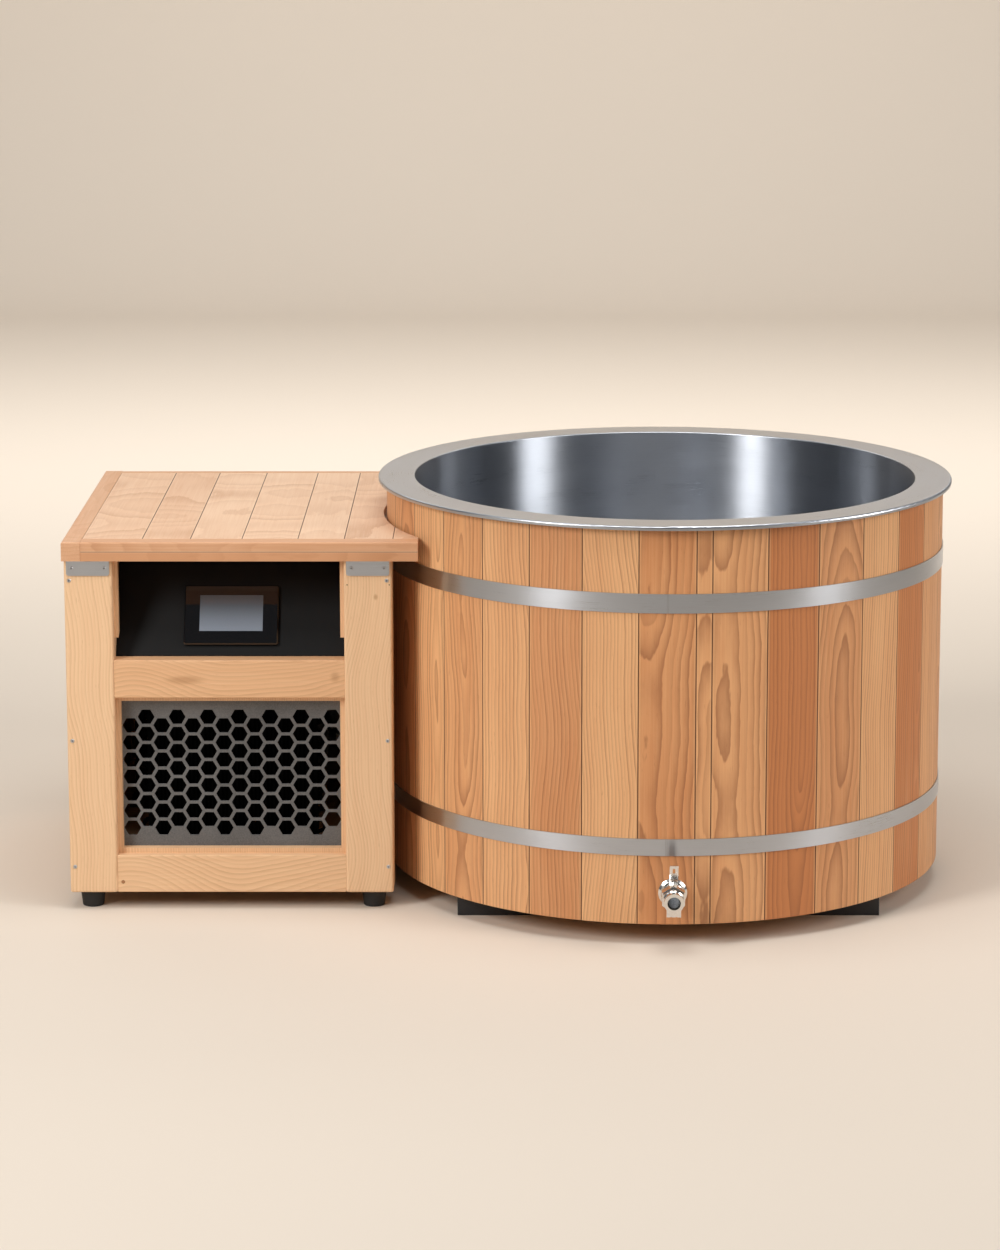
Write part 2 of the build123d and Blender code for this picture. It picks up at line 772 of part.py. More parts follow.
# Honeycomb grille, held from the front by four beads round the opening
grille_bottom = bottom_rail_top + seat_gap
grille_top = mid_rail_bottom - seat_gap
grille_middle = (grille_bottom + grille_top) / 2
grille_back = grille_front + grille_thickness
hexagon_radius = hexagon_across_flats / 2
with BuildPart() as grille_panel:
    with BuildSketch(Plane.XZ.offset(-grille_front)):
        with Locations((cabinet_middle, grille_middle)):
            Rectangle(inner_right - inner_left - 2 * seat_gap, grille_top - grille_bottom)
            for column in range(grille_columns):
                column_x = (column - (grille_columns - 1) / 2) * grille_column_pitch
                half_step = grille_row_pitch / 4 * (1 if column % 2 else -1)
                for row in range(grille_rows):
                    row_z = (row - (grille_rows - 1) / 2) * grille_row_pitch + half_step
                    with Locations((column_x, row_z)):
                        RegularPolygon(hexagon_radius, 6, major_radius=False, mode=Mode.SUBTRACT)
    extrude(amount=-grille_thickness)
grille_panel.part.label = "grille_panel"
export_step(grille_panel.part, "parts/grille_panel.step")

bead_back = bead_front + bead_depth
bead_span = (inner_left + bead_width, inner_right - bead_width)
bead_left = block((inner_left, bead_front, bottom_rail_top), (bead_span[0], bead_back, mid_rail_bottom))
bead_right = block((bead_span[1], bead_front, bottom_rail_top), (inner_right, bead_back, mid_rail_bottom))
bead_low = block(
    (bead_span[0], bead_front, bottom_rail_top),
    (bead_span[1], bead_back, bottom_rail_top + bead_width),
)
bead_high = block(
    (bead_span[0], bead_front, mid_rail_bottom - bead_width),
    (bead_span[1], bead_back, mid_rail_bottom),
)
grille_beads = Compound(label="grille_beads", children=[bead_left, bead_right, bead_low, bead_high])
export_step(grille_beads, "parts/grille_beads.step")

# Reveal strips beside the console's opening; their feet are cut on the slant
reveal_strips = []
for strip_left in (inner_left, inner_right - reveal_strip_width):
    with BuildPart() as reveal_strip:
        with BuildSketch(Plane.YZ.offset(strip_left)):
            with BuildLine():
                strip_front = cabinet_front + bead_setback
                Polyline(
                    (strip_front, reveal_strip_bottom),
                    (strip_front + reveal_strip_depth, reveal_strip_bottom + reveal_strip_width),
                    (strip_front + reveal_strip_depth, lid_bottom),
                    (strip_front, lid_bottom),
                    close=True,
                )
            make_face()
        extrude(amount=reveal_strip_width)
    reveal_strips.append(reveal_strip.part)
reveal_group = Compound(label="reveal_strips", children=reveal_strips)
export_step(reveal_group, "parts/reveal_strips.step")

# Console: one folded sheet, screwed behind the middle rail, leaning back under the lid
lean = radians(console_lean)
sheet_front = rail_back + seat_gap
fold_height = mid_rail_top + console_fold_rise
slope_length = (lid_bottom - seat_gap - fold_height) / cos(lean)
slope_back = sheet_front + slope_length * sin(lean)
with BuildPart() as console:
    with BuildSketch(Plane.YZ.offset(inner_left + seat_gap)):
        with BuildLine():
            across = console_thickness / cos(lean)
            sheet_slope_end = slope_back + across - console_thickness * sin(lean) / cos(lean)
            inside_fold = fold_height - console_thickness * sin(lean) / cos(lean) * 0.5
            sheet_top = lid_bottom - seat_gap
            Polyline(
                (sheet_front, fold_height - console_flange),
                (sheet_front, fold_height),
                (slope_back, sheet_top),
                (slope_back + console_top_flange, sheet_top),
                (slope_back + console_top_flange, sheet_top - console_thickness),
                (sheet_slope_end, sheet_top - console_thickness),
                (sheet_front + console_thickness, inside_fold),
                (sheet_front + console_thickness, fold_height - console_flange),
                close=True,
            )
        make_face()
    extrude(amount=inner_right - inner_left - 2 * seat_gap)
console.part.label = "console"
export_step(console.part, "parts/console.step")

# Display: a bezel with bevelled edges and a recessed screen, flat on the console's slope
console_foot = Vector(cabinet_middle, sheet_front, fold_height)
up_slope = Vector(0, sin(lean), cos(lean))
bezel_centre = console_foot + up_slope * (bezel_rise + bezel_height / 2)
bezel_plane = Plane(origin=bezel_centre, x_dir=(1, 0, 0), z_dir=(0, -cos(lean), sin(lean)))
with BuildPart() as screen_bezel:
    with BuildSketch(bezel_plane):
        RectangleRounded(bezel_width, bezel_height, bezel_chamfer + 2.0)
    extrude(amount=bezel_thickness)
    front_face = screen_bezel.faces().sort_by(Axis(bezel_centre, bezel_plane.z_dir))[-1]
    chamfer(front_face.edges(), bezel_chamfer)
    with BuildSketch(bezel_plane.offset(bezel_thickness)):
        with Locations((0, screen_shift)):
            Rectangle(screen_width, screen_height)
    extrude(amount=-screen_thickness, mode=Mode.SUBTRACT)
screen_bezel.part.label = "screen_bezel"
export_step(screen_bezel.part, "parts/screen_bezel.step")

with BuildPart() as screen_glass:
    with BuildSketch(bezel_plane.offset(bezel_thickness - screen_thickness)):
        with Locations((0, screen_shift)):
            Rectangle(screen_width - 2 * seat_gap, screen_height - 2 * seat_gap)
    extrude(amount=screen_thickness)
screen_glass.part.label = "screen_glass"
export_step(screen_glass.part, "parts/screen_glass.step")

# Lid: planks on battens, with an edge board at the left and edging front and rear,
# all cut to one round bite that clears the tub
bite_radius = stave_outer_radius + lid_tub_gap


def lid_board(low, high, grooved=(), rounded=()):
    """One board of the lid between two corners, less the bite; a cut board may be two solids."""
    with BuildPart() as board:
        box_between(low, high)
        if rounded:
            top = board.faces().sort_by(Axis.Z)[-1]
            fillet([top.edges().sort_by(side)[-1] for side in rounded], lid_outer_radius)
        if grooved:
            top = board.faces().sort_by(Axis.Z)[-1]
            chamfer([top.edges().sort_by(side)[-1] for side in grooved], lid_easing)
        with Locations((0, 0, low[2])):
            Cylinder(bite_radius, lid_top, mode=Mode.SUBTRACT)
    return list(board.part.solids())


planks_left = lid_left + lid_edge_width
planks_front = lid_front + lid_front_edging_depth
planks_back = lid_back - lid_rear_edging_depth
left_side, right_side, front_side, rear_side = -Axis.X, Axis.X, -Axis.Y, Axis.Y
plank_edges = [planks_left]
for share in lid_plank_shares:
    plank_edges.append(plank_edges[-1] + share / sum(lid_plank_shares) * (lid_right - planks_left))
planks = []
for left, right in zip(plank_edges, plank_edges[1:]):
    sides = (left_side, right_side, front_side, rear_side)
    planks += lid_board((left, planks_front, lid_board_bottom), (right, planks_back, lid_top), grooved=sides)
lid_planks = Compound(label="lid_planks", children=planks)
export_step(lid_planks, "parts/lid_planks.step")

edge_boards = lid_board(
    (lid_left, lid_front, lid_bottom),
    (planks_left, lid_back, lid_top),
    grooved=(right_side,),
    rounded=(front_side, left_side),
)
lid_edge_board = Compound(label="lid_edge_board", children=edge_boards)
export_step(lid_edge_board, "parts/lid_edge_board.step")

front_strips = lid_board(
    (planks_left, lid_front, lid_board_bottom),
    (lid_right, planks_front, lid_top),
    grooved=(rear_side,),
    rounded=(front_side,),
)
front_strips += lid_board((planks_left, lid_front, lid_bottom), (lid_right, planks_front, lid_board_bottom))
rear_strip = lid_board(
    (planks_left, planks_back, lid_bottom),
    (lid_right, lid_back, lid_top),
    grooved=(front_side,),
    rounded=(rear_side,),
)
lid_edging = Compound(label="lid_edging", children=front_strips + rear_strip)
export_step(lid_edging, "parts/lid_edging.step")

battens = []
for batten_middle in (planks_front + lid_batten_width / 2, 0.0, planks_back - lid_batten_width / 2):
    near = batten_middle - lid_batten_width / 2
    far = batten_middle + lid_batten_width / 2
    battens += lid_board((planks_left, near, lid_bottom), (inner_right, far, lid_board_bottom))
lid_battens = Compound(label="lid_battens", children=battens)
export_step(lid_battens, "parts/lid_battens.step")

# Steel plates that fix the lid's front edge to the front posts
plates = []
plate_middles = (cabinet_left + post_width / 2, cabinet_right - post_width / 2)
plate_bottom = lid_bottom - plate_height
plate_screw_rise = plate_height / 2
plate_screw_spread = plate_width / 2 - plate_screw_inset
for plate_middle in plate_middles:
    with BuildPart() as plate:
        box_between(
            (plate_middle - plate_width / 2, cabinet_front - plate_thickness, plate_bottom),
            (plate_middle + plate_width / 2, cabinet_front, lid_bottom),
        )
        fillet(plate.edges().filter_by(Axis.Y).group_by(Axis.Z)[0], plate_corner_radius)
        with BuildSketch(Plane.XZ.offset(-cabinet_front)):
            for side in (-1, 1):
                with Locations((plate_middle + side * plate_screw_spread, plate_bottom + plate_screw_rise)):
                    Circle(screw_shank_radius)
        extrude(amount=plate_thickness, mode=Mode.SUBTRACT)
    plates.append(plate.part)
corner_plates = Compound(label="corner_plates", children=plates)
export_step(corner_plates, "parts/corner_plates.step")

# Screws: two through each plate, and the ones that hold the posts to the rails
screw_places = []
for plate_middle in plate_middles:
    for side in (-1, 1):
        place = (plate_middle + side * plate_screw_spread, plate_bottom + plate_screw_rise)
        screw_places.append((place, cabinet_front - plate_thickness))
for screw_height in post_screw_heights:
    screw_places.append(((cabinet_left + post_screw_inset, screw_height), cabinet_front))
    screw_places.append(((cabinet_right - post_screw_inset, screw_height), cabinet_front))
screws = []
for place, face in screw_places:
    with BuildPart() as screw:
        with BuildSketch(Plane.XZ.offset(-face)):
            with Locations(place):
                Circle(screw_head_radius)
        extrude(amount=screw_head_height)
        chamfer(screw.faces().sort_by(Axis.Y)[0].edges(), screw_head_height / 2)
    screws.append(screw.part)
cabinet_screws = Compound(label="cabinet_screws", children=screws)
export_step(cabinet_screws, "parts/cabinet_screws.step")

# Rubber feet
feet = []
for foot_x in (cabinet_left + foot_inset, cabinet_right - foot_inset):
    for foot_y in (cabinet_front + foot_inset, cabinet_back - foot_inset):
        with BuildPart() as foot:
            with Locations((foot_x, foot_y, 0)):
                Cone(foot_bottom_radius, foot_top_radius, foot_height, align=upright)
            fillet(foot.faces().sort_by(Axis.Z)[0].edges(), foot_edge_radius)
        feet.append(foot.part)
rubber_feet = Compound(label="rubber_feet", children=feet)
export_step(rubber_feet, "parts/rubber_feet.step")

# Condenser behind the grille: a finned core in a frame, with the tubes' return bends at both sides
condenser_bottom = cabinet_floor_top
condenser_top = condenser_bottom + condenser_height
condenser_middle_z = condenser_bottom + condenser_height / 2
condenser_left = cabinet_middle - condenser_width / 2
condenser_right = cabinet_middle + condenser_width / 2
condenser_middle_y = (condenser_front + condenser_back) / 2
fin_gap_pitch = (condenser_width - 2 * condenser_wall) / condenser_gap_count
bend_pitch = (condenser_height - 2 * condenser_wall) / condenser_bend_count
with BuildPart() as condenser:
    box_between(
        (condenser_left, condenser_front, condenser_bottom),
        (condenser_right, condenser_back, condenser_top),
    )
    for face, inwards in ((condenser_front, 1), (condenser_back, -1)):
        with BuildSketch(Plane.XZ.offset(-face)):
            with Locations((cabinet_middle, condenser_middle_z)):
                with GridLocations(fin_gap_pitch, 0, condenser_gap_count, 1):
                    Rectangle(fin_gap_pitch / 2, condenser_height - 2 * condenser_wall)
        extrude(amount=-inwards * condenser_gap_depth, mode=Mode.SUBTRACT)
    for side, outwards in ((condenser_left, -1), (condenser_right, 1)):
        bend_middle = (side, condenser_middle_y, condenser_middle_z)
        with BuildSketch(Plane(origin=bend_middle, x_dir=(1, 0, 0), z_dir=front)):
            with GridLocations(0, bend_pitch, 1, condenser_bend_count):
                Circle(condenser_bend_radius)
                Circle(condenser_bend_radius - 2 * condenser_tube_radius, mode=Mode.SUBTRACT)
            with Locations((-outwards * condenser_width / 2, 0)):
                Rectangle(condenser_width, condenser_height, mode=Mode.SUBTRACT)
        extrude(amount=condenser_tube_radius, both=True)
condenser.part.label = "condenser"
export_step(condenser.part, "parts/condenser.step")

# Fan shroud: a plate with a duct and three struts that carry the motor
duct_back = condenser_back + duct_depth
duct_outer_radius = duct_inner_radius + shroud_thickness
with BuildPart() as fan_shroud:
    with BuildSketch(Plane.XZ.offset(-condenser_back)):
        with Locations((cabinet_middle, condenser_middle_z)):
            Rectangle(condenser_width, condenser_height)
            Circle(duct_inner_radius, mode=Mode.SUBTRACT)
    extrude(amount=-shroud_thickness)
    with BuildSketch(Plane.XZ.offset(-condenser_back)):
        with Locations((cabinet_middle, condenser_middle_z)):
            Circle(duct_outer_radius)
            Circle(duct_inner_radius, mode=Mode.SUBTRACT)
    extrude(amount=-duct_depth)
    with BuildSketch(Plane.XZ.offset(-duct_back + strut_depth)):
        with Locations((cabinet_middle, condenser_middle_z)):
            Circle(motor_radius)
            with PolarLocations(0, 3, start_angle=90):
                with Locations(((duct_inner_radius + 1.0) / 2, 0)):
                    Rectangle(duct_inner_radius + 1.0, strut_width)
            Circle(motor_boss_radius, mode=Mode.SUBTRACT)
    extrude(amount=-strut_depth)
fan_shroud.part.label = "fan_shroud"
export_step(fan_shroud.part, "parts/fan_shroud.step")

with BuildPart() as fan_motor:
    with BuildSketch(Plane.XZ.offset(-duct_back)):
        with Locations((cabinet_middle, condenser_middle_z)):
            Circle(motor_radius)
    extrude(amount=-motor_length)
    fillet(fan_motor.faces().sort_by(Axis.Y)[-1].edges(), motor_edge_radius)
    with BuildSketch(Plane.XZ.offset(-duct_back)):
        with Locations((cabinet_middle, condenser_middle_z)):
            Circle(fan_shaft_radius + running_gap)
    extrude(amount=-shaft_length, mode=Mode.SUBTRACT)
fan_motor.part.label = "fan_motor"
export_step(fan_motor.part, "parts/fan_motor.step")

# Fan rotor: a hub on its shaft with pitched blades
hub_back = duct_back - strut_depth - fan_hub_clearance
hub_middle = hub_back - fan_hub_depth / 2
blade_length = duct_inner_radius - fan_tip_gap - fan_hub_radius
with BuildPart() as fan_rotor:
    with BuildSketch(Plane.XZ.offset(-hub_back + fan_hub_depth)):
        with Locations((cabinet_middle, condenser_middle_z)):
            Circle(fan_hub_radius)
    extrude(amount=-fan_hub_depth)
    with BuildSketch(Plane.XZ.offset(-hub_back)):
        with Locations((cabinet_middle, condenser_middle_z)):
            Circle(fan_shaft_radius)
    extrude(amount=-shaft_length - duct_back + hub_back + 2.0)
    for index in range(fan_blade_count):
        turn = 360 / fan_blade_count * index
        root = Plane(
            origin=(cabinet_middle, hub_middle, condenser_middle_z),
            x_dir=(0, 1, 0),
            z_dir=(cos(radians(turn)), 0, sin(radians(turn))),
        )
        with BuildSketch(root.offset(fan_hub_radius - 4.0)):
            Rectangle(fan_blade_thickness, blade_root_chord, rotation=fan_blade_pitch)
        with BuildSketch(root.offset(fan_hub_radius + blade_length)):
            Rectangle(fan_blade_thickness, blade_tip_chord, rotation=fan_blade_pitch / 2)
        loft()
    with BuildSketch(Plane.XZ.offset(-condenser_back)):
        with Locations((cabinet_middle, condenser_middle_z)):
            Circle(duct_inner_radius - fan_tip_gap)
    extrude(amount=-duct_depth - motor_length, mode=Mode.INTERSECT)
fan_rotor.part.label = "fan_rotor"
export_step(fan_rotor.part, "parts/fan_rotor.step")

# Compressor, heat exchanger and filter stand on the cabinet floor
with BuildPart() as compressor:
    with Locations((*compressor_place, cabinet_floor_top)):
        Box(*compressor_base, align=upright)
    with Locations((*compressor_place, cabinet_floor_top + compressor_base[2])):
        Cylinder(compressor_radius, compressor_height, align=upright)
    fillet(compressor.faces().sort_by(Axis.Z)[-1].edges(), compressor_dome_radius)
compressor.part.label = "compressor"
export_step(compressor.part, "parts/compressor.step")

with BuildPart() as heat_exchanger:
    with Locations((*exchanger_place, cabinet_floor_top)):
        Cylinder(exchanger_cap_radius, exchanger_cap_height, align=upright)
        Cylinder(exchanger_radius, exchanger_height, align=upright)
    with Locations((*exchanger_place, cabinet_floor_top + exchanger_height)):
        Cylinder(exchanger_cap_radius, exchanger_cap_height, align=upright)
heat_exchanger.part.label = "heat_exchanger"
export_step(heat_exchanger.part, "parts/heat_exchanger.step")

filter_stub_face = filter_place[1] - filter_radius - port_stub_length
with BuildPart() as filter_canister:
    with Locations((*filter_place, cabinet_floor_top)):
        Cylinder(filter_radius, filter_height, align=upright)
    with Locations((*filter_place, cabinet_floor_top + filter_height - filter_band_drop)):
        Cylinder(filter_band_radius, filter_band_height, align=upright)
    fillet(filter_canister.faces().sort_by(Axis.Z)[-1].edges(), filter_dome_radius)
    with BuildSketch(Plane(origin=(filter_place[0], filter_place[1], return_height), z_dir=front)):
        Circle(stub_radius)
    extrude(amount=filter_radius + port_stub_length)
filter_canister.part.label = "filter_canister"
export_step(filter_canister.part, "parts/filter_canister.step")

pump_outlet_face = pump_place[0] + volute_radius + port_stub_length
with BuildPart() as circulation_pump:
    volute_front = (pump_place[0], pump_place[1] - volute_depth / 2, supply_height)
    with BuildSketch(Plane(origin=volute_front, z_dir=(0, 1, 0))):
        Circle(volute_radius)
    extrude(amount=volute_depth)
    with BuildSketch(Plane(origin=(pump_place[0], pump_place[1], supply_height), z_dir=(0, 1, 0))):
        Circle(pump_radius)
    extrude(amount=volute_depth / 2 + pump_length)
    with BuildSketch(Plane(origin=(pump_place[0], pump_place[1], supply_height), z_dir=(1, 0, 0))):
        Circle(stub_radius)
    extrude(amount=volute_radius + port_stub_length)
    foot_start = pump_place[1] + volute_depth / 2
    box_between(
        (pump_place[0] - pump_foot_width / 2, foot_start, cabinet_floor_top),
        (pump_place[0] + pump_foot_width / 2, foot_start + pump_foot_length, supply_height),
    )
circulation_pump.part.label = "circulation_pump"
export_step(circulation_pump.part, "parts/circulation_pump.step")

# Control box on the back of the console's upper flange
box_width, box_depth, box_height = control_box_size
box_front = slope_back + console_top_flange
with BuildPart() as control_box:
    box_between(
        (cabinet_middle - box_width / 2, box_front, lid_bottom - box_height),
        (cabinet_middle + box_width / 2, box_front + box_depth, lid_bottom),
    )
    fillet(control_box.edges().filter_by(Axis.Y), control_box_radius)
control_box.part.label = "control_box"
export_step(control_box.part, "parts/control_box.step")

# Water pipes between the cabinet and the tub, each with a flange inside the liner
wall_face = -(liner_inner_radius - inner_fitting_radius**2 / (2 * liner_inner_radius) - seat_gap)
with BuildPart() as supply_pipe:
    with BuildSketch(Plane.YZ.offset(pump_outlet_face)):
        with Locations((0, supply_height)):
            Circle(pipe_radius)
    extrude(amount=wall_face - pump_outlet_face)
    with BuildSketch(Plane.YZ.offset(wall_face)):
        with Locations((0, supply_height)):
            Circle(inner_fitting_radius)
    extrude(amount=inner_fitting_thickness)
    with BuildSketch(Plane.YZ.offset(pump_outlet_face)):
        with Locations((0, supply_height)):
            Circle(pipe_radius - pipe_wall)
    extrude(amount=wall_face + inner_fitting_thickness - pump_outlet_face, mode=Mode.SUBTRACT)
supply_pipe.part.label = "supply_pipe"
export_step(supply_pipe.part, "parts/supply_pipe.step")

with BuildPart() as return_pipe:
    with BuildLine() as return_route:
        FilletPolyline(
            (wall_face, 0, return_height),
            (filter_place[0], 0, return_height),
            (filter_place[0], filter_stub_face, return_height),
            radius=pipe_bend_radius,
        )
    with BuildSketch(Plane.YZ.offset(wall_face)):
        with Locations((0, return_height)):
            Circle(pipe_radius)
            Circle(pipe_radius - pipe_wall, mode=Mode.SUBTRACT)
    sweep(path=return_route.line)
    with BuildSketch(Plane.YZ.offset(wall_face)):
        with Locations((0, return_height)):
            Circle(inner_fitting_radius)
            Circle(pipe_radius - pipe_wall, mode=Mode.SUBTRACT)
    extrude(amount=inner_fitting_thickness)
return_pipe.part.label = "return_pipe"
export_step(return_pipe.part, "parts/return_pipe.step")
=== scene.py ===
from math import pi, radians, tau

import bmesh
import bpy
from bpy.props import FloatProperty, FloatVectorProperty, PointerProperty
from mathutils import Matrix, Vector


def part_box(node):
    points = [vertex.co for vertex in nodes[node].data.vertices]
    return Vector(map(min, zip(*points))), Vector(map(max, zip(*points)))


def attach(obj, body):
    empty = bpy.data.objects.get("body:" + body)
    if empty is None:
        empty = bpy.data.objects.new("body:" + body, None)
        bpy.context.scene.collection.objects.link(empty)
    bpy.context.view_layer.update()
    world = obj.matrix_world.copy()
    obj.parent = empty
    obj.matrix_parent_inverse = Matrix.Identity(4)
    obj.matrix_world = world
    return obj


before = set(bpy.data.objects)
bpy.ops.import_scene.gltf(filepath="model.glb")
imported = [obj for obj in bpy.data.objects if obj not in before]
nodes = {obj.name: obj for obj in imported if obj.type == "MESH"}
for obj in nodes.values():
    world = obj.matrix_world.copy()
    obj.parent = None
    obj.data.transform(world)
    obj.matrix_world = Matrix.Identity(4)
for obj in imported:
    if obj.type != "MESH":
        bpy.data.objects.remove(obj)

bl_info = {
    "name": "Wooden plunge tub",
    "version": (1, 0, 0),
    "blender": (4, 5, 0),
    "location": "View3D > Sidebar > Plunge tub",
    "description": "Dresses a cedar plunge tub and the chiller cabinet beside it",
    "category": "Object",
}

root = "root"

# The stave ring, in metres, read from the frame and repeated from how it is cut
stave_ring_radius = -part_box("drain_stave")[0].y
stave_count = 32
closing_stave_width = 0.0363
closing_stave_start = radians(4.25)
closing_stave_angle = closing_stave_width / stave_ring_radius
stave_angle = (tau - closing_stave_angle) / stave_count
closing_stave_end = closing_stave_start + closing_stave_angle

# How each regular stave looks, rightwards from the closing stave: tone, pith place and ring width.
# Tone 0 is a pale board and 1 a red one; a pith place of 0.5 puts the arches in the stave's middle.
front_right_looks = (
    (0.46, 0.40, 0.75),
    (1.20, 0.56, 0.45),
    (0.60, 0.50, 0.60),
    (0.22, 0.95, 0.30),
    (1.00, 0.62, 0.40),
    (0.44, 0.10, 0.50),
    (0.55, 0.45, 0.60),
    (0.25, 0.90, 0.35),
)
front_left_looks = (
    (0.45, 0.30, 0.50),
    (0.50, 0.55, 0.50),
    (0.16, 0.60, 0.50),
    (0.50, 0.48, 0.55),
    (0.30, 0.75, 0.45),
    (0.64, 0.92, 0.40),
    (0.22, 0.98, 0.28),
    (0.68, 0.36, 0.95),
)
closing_look = (0.46, 0.55, 0.85)
# The staves behind, which the photograph doesn't show, take these looks in turn
rear_looks = (
    (0.45, 0.5, 0.5),
    (0.20, 0.9, 0.4),
    (0.66, 0.4, 0.6),
    (0.35, 0.1, 0.3),
    (0.55, 0.6, 0.7),
)
rear_count = stave_count - len(front_right_looks) - len(front_left_looks)
ring_looks = (
    *front_right_looks,
    *(rear_looks[k % len(rear_looks)] for k in range(rear_count)),
    *front_left_looks,
)

# The cedar's figure, in metres
pith_depth = 0.030  # the pith's depth behind a board's face
pith_drift = 0.09  # how far the pith wanders sideways along a board
pith_lift = 0.11  # how far it wanders towards the face
pith_tilt = 0.10  # its greatest slope against the face
pith_span = 0.36  # how far apart the pith places 0 and 1 of a stave lie
narrow_ring, ring_range = 0.0045, 0.012  # ring width 0 of a stave, and what 1 adds
ripple_reach = 0.9  # the rings' ripple, as a share of their width
seed_stride = 17.31  # keeps the noise of neighbouring boards apart

# Colours that the settings leave alone
# Near-black painted shade for the gaps between boards
seam_shade_colour = (0.06, 0.018, 0.006, 1.0)
frame_late = (0.42, 0.20, 0.08, 1.0)
lid_colours = ((0.84, 0.58, 0.39, 1.0), (0.62, 0.31, 0.155, 1.0), (0.46, 0.20, 0.08, 1.0))
paper_shade = (0.6, 0.5, 0.4, 1.0)
# Painted reflection on the screen glass: pale blue-grey at its foot, dark at its head
reflection_foot, reflection_head = (0.25, 0.29, 0.35, 1.0), (0.07, 0.077, 0.088, 1.0)


def deselect():
    """Leave nothing selected, so that an operator acts on its own piece only."""
    bpy.ops.object.select_all(action="DESELECT")


def feed(tree, socket, value):
    """Join a socket to another one, or set its value."""
    if isinstance(value, bpy.types.NodeSocket):
        tree.links.new(value, socket)
    else:
        socket.default_value = value


def maths(tree, operation, *values, clamp=False):
    """The output of a Math node."""
    node = tree.nodes.new("ShaderNodeMath")
    node.operation = operation
    node.use_clamp = clamp
    for socket, value in zip(node.inputs, values):
        feed(tree, socket, value)
    return node.outputs[0]


def weave_sum(tree, base, *terms):
    """A value plus centred ones: each (value, weight) adds (value - 0.5) * weight."""
    total = base
    for value, weight in terms:
        centred = maths(tree, "SUBTRACT", value, 0.5)
        total = maths(tree, "MULTIPLY_ADD", centred, weight, total)
    return total


def combine(tree, x, y, z):
    """A vector of three values."""
    node = tree.nodes.new("ShaderNodeCombineXYZ")
    for socket, value in zip(node.inputs, (x, y, z)):
        feed(tree, socket, value)
    return node.outputs[0]


def split(tree, vector):
    """The three values of a vector."""
    node = tree.nodes.new("ShaderNodeSeparateXYZ")
    tree.links.new(vector, node.inputs[0])
    return node.outputs


def split_colour(tree, colour):
    """The three parts of a colour."""
    node = tree.nodes.new("ShaderNodeSeparateColor")
    tree.links.new(colour, node.inputs[0])
    return node.outputs


def bearing_of(tree, x, y):
    """The angle round the tub's axis, from the front towards the right."""
    return maths(tree, "ARCTAN2", x, maths(tree, "MULTIPLY", y, -1.0))


def length_of(tree, first, second):
    """The length of a vector of two values."""
    first_square = maths(tree, "MULTIPLY", first, first)
    second_square = maths(tree, "MULTIPLY", second, second)
    return maths(tree, "SQRT", maths(tree, "ADD", first_square, second_square))


def noise(tree, vector, scale=1.0, detail=2.0, roughness=0.5):
    """Smooth noise between 0 and 1."""
    node = tree.nodes.new("ShaderNodeTexNoise")
    tree.links.new(vector, node.inputs["Vector"])
    node.inputs["Scale"].default_value = scale
    node.inputs["Detail"].default_value = detail
    node.inputs["Roughness"].default_value = roughness
    return node.outputs["Fac"]


def chance(tree, value):
    """A number between 0 and 1 that is the same for the same value."""
    node = tree.nodes.new("ShaderNodeTexWhiteNoise")
    node.noise_dimensions = "1D"
    feed(tree, node.inputs["W"], value)
    return node.outputs["Value"]


def step(tree, value, low, high, start=0.0, end=1.0):
    """A smooth step from start to end while the value goes from low to high."""
    node = tree.nodes.new("ShaderNodeMapRange")
    node.interpolation_type = "SMOOTHSTEP"
    for socket, given in zip(node.inputs, (value, low, high, start, end)):
        feed(tree, socket, given)
    return node.outputs[0]


def tint(tree, factor, first, second):
    """Two colours mixed by a factor."""
    node = tree.nodes.new("ShaderNodeMix")
    node.data_type = "RGBA"
    colour_factor, first_colour, second_colour = (node.inputs[k] for k in (0, 6, 7))
    feed(tree, colour_factor, factor)
    feed(tree, first_colour, first)
    feed(tree, second_colour, second)
    return node.outputs[2]


def object_place(tree):
    """Object coordinates."""
    return tree.nodes.new("ShaderNodeTexCoord").outputs["Object"]


def new_group(name, inputs, outputs):
    """An empty node group with named inputs and outputs, and its two end nodes."""
    group = bpy.data.node_groups.new(name, "ShaderNodeTree")
    for in_out, sockets in (("INPUT", inputs), ("OUTPUT", outputs)):
        for socket_name, kind in sockets:
            group.interface.new_socket(socket_name, in_out=in_out, socket_type=kind)
    given = group.nodes.new("NodeGroupInput").outputs
    return group, given, group.nodes.new("NodeGroupOutput").inputs


def place_group(tree, group, **values):
    """A group in a material, with its inputs given by name; underscores stand for spaces."""
    node = tree.nodes.new("ShaderNodeGroup")
    node.node_tree = group
    for name, value in values.items():
        feed(tree, node.inputs[name.replace("_", " ")], value)
    return node.outputs


def new_material(name, **shader_values):
    """A material with its Principled shader, whose plain values are set on its own sockets."""
    material = bpy.data.materials.new(name)
    material.use_nodes = True
    tree = material.node_tree
    shader = tree.nodes["Principled BSDF"]
    for socket_name, value in shader_values.items():
        shader.inputs[socket_name.replace("_", " ")].default_value = value
    return material, tree, shader


def plain_material(name, colour, **shader_values):
    """A material of one colour."""
    return new_material(name, Base_Color=(*colour, 1.0), **shader_values)[0]


def bump(tree, shader, height, distance, strength):
    """Raise the surface by a height between 0 and 1 times a distance."""
    node = tree.nodes.new("ShaderNodeBump")
    node.inputs["Strength"].default_value = strength
    node.inputs["Distance"].default_value = distance
    tree.links.new(height, node.inputs["Height"])
    tree.links.new(node.outputs[0], shader.inputs["Normal"])


def finish(material, *node_names):
    """Give CAD nodes their material."""
    for node_name in node_names:
        slots = nodes[node_name].data.materials
        if len(slots) == 0:
            slots.append(material)
        for index in range(len(slots)):
            slots[index] = material


float_socket = "NodeSocketFloat"
vector_socket = "NodeSocketVector"


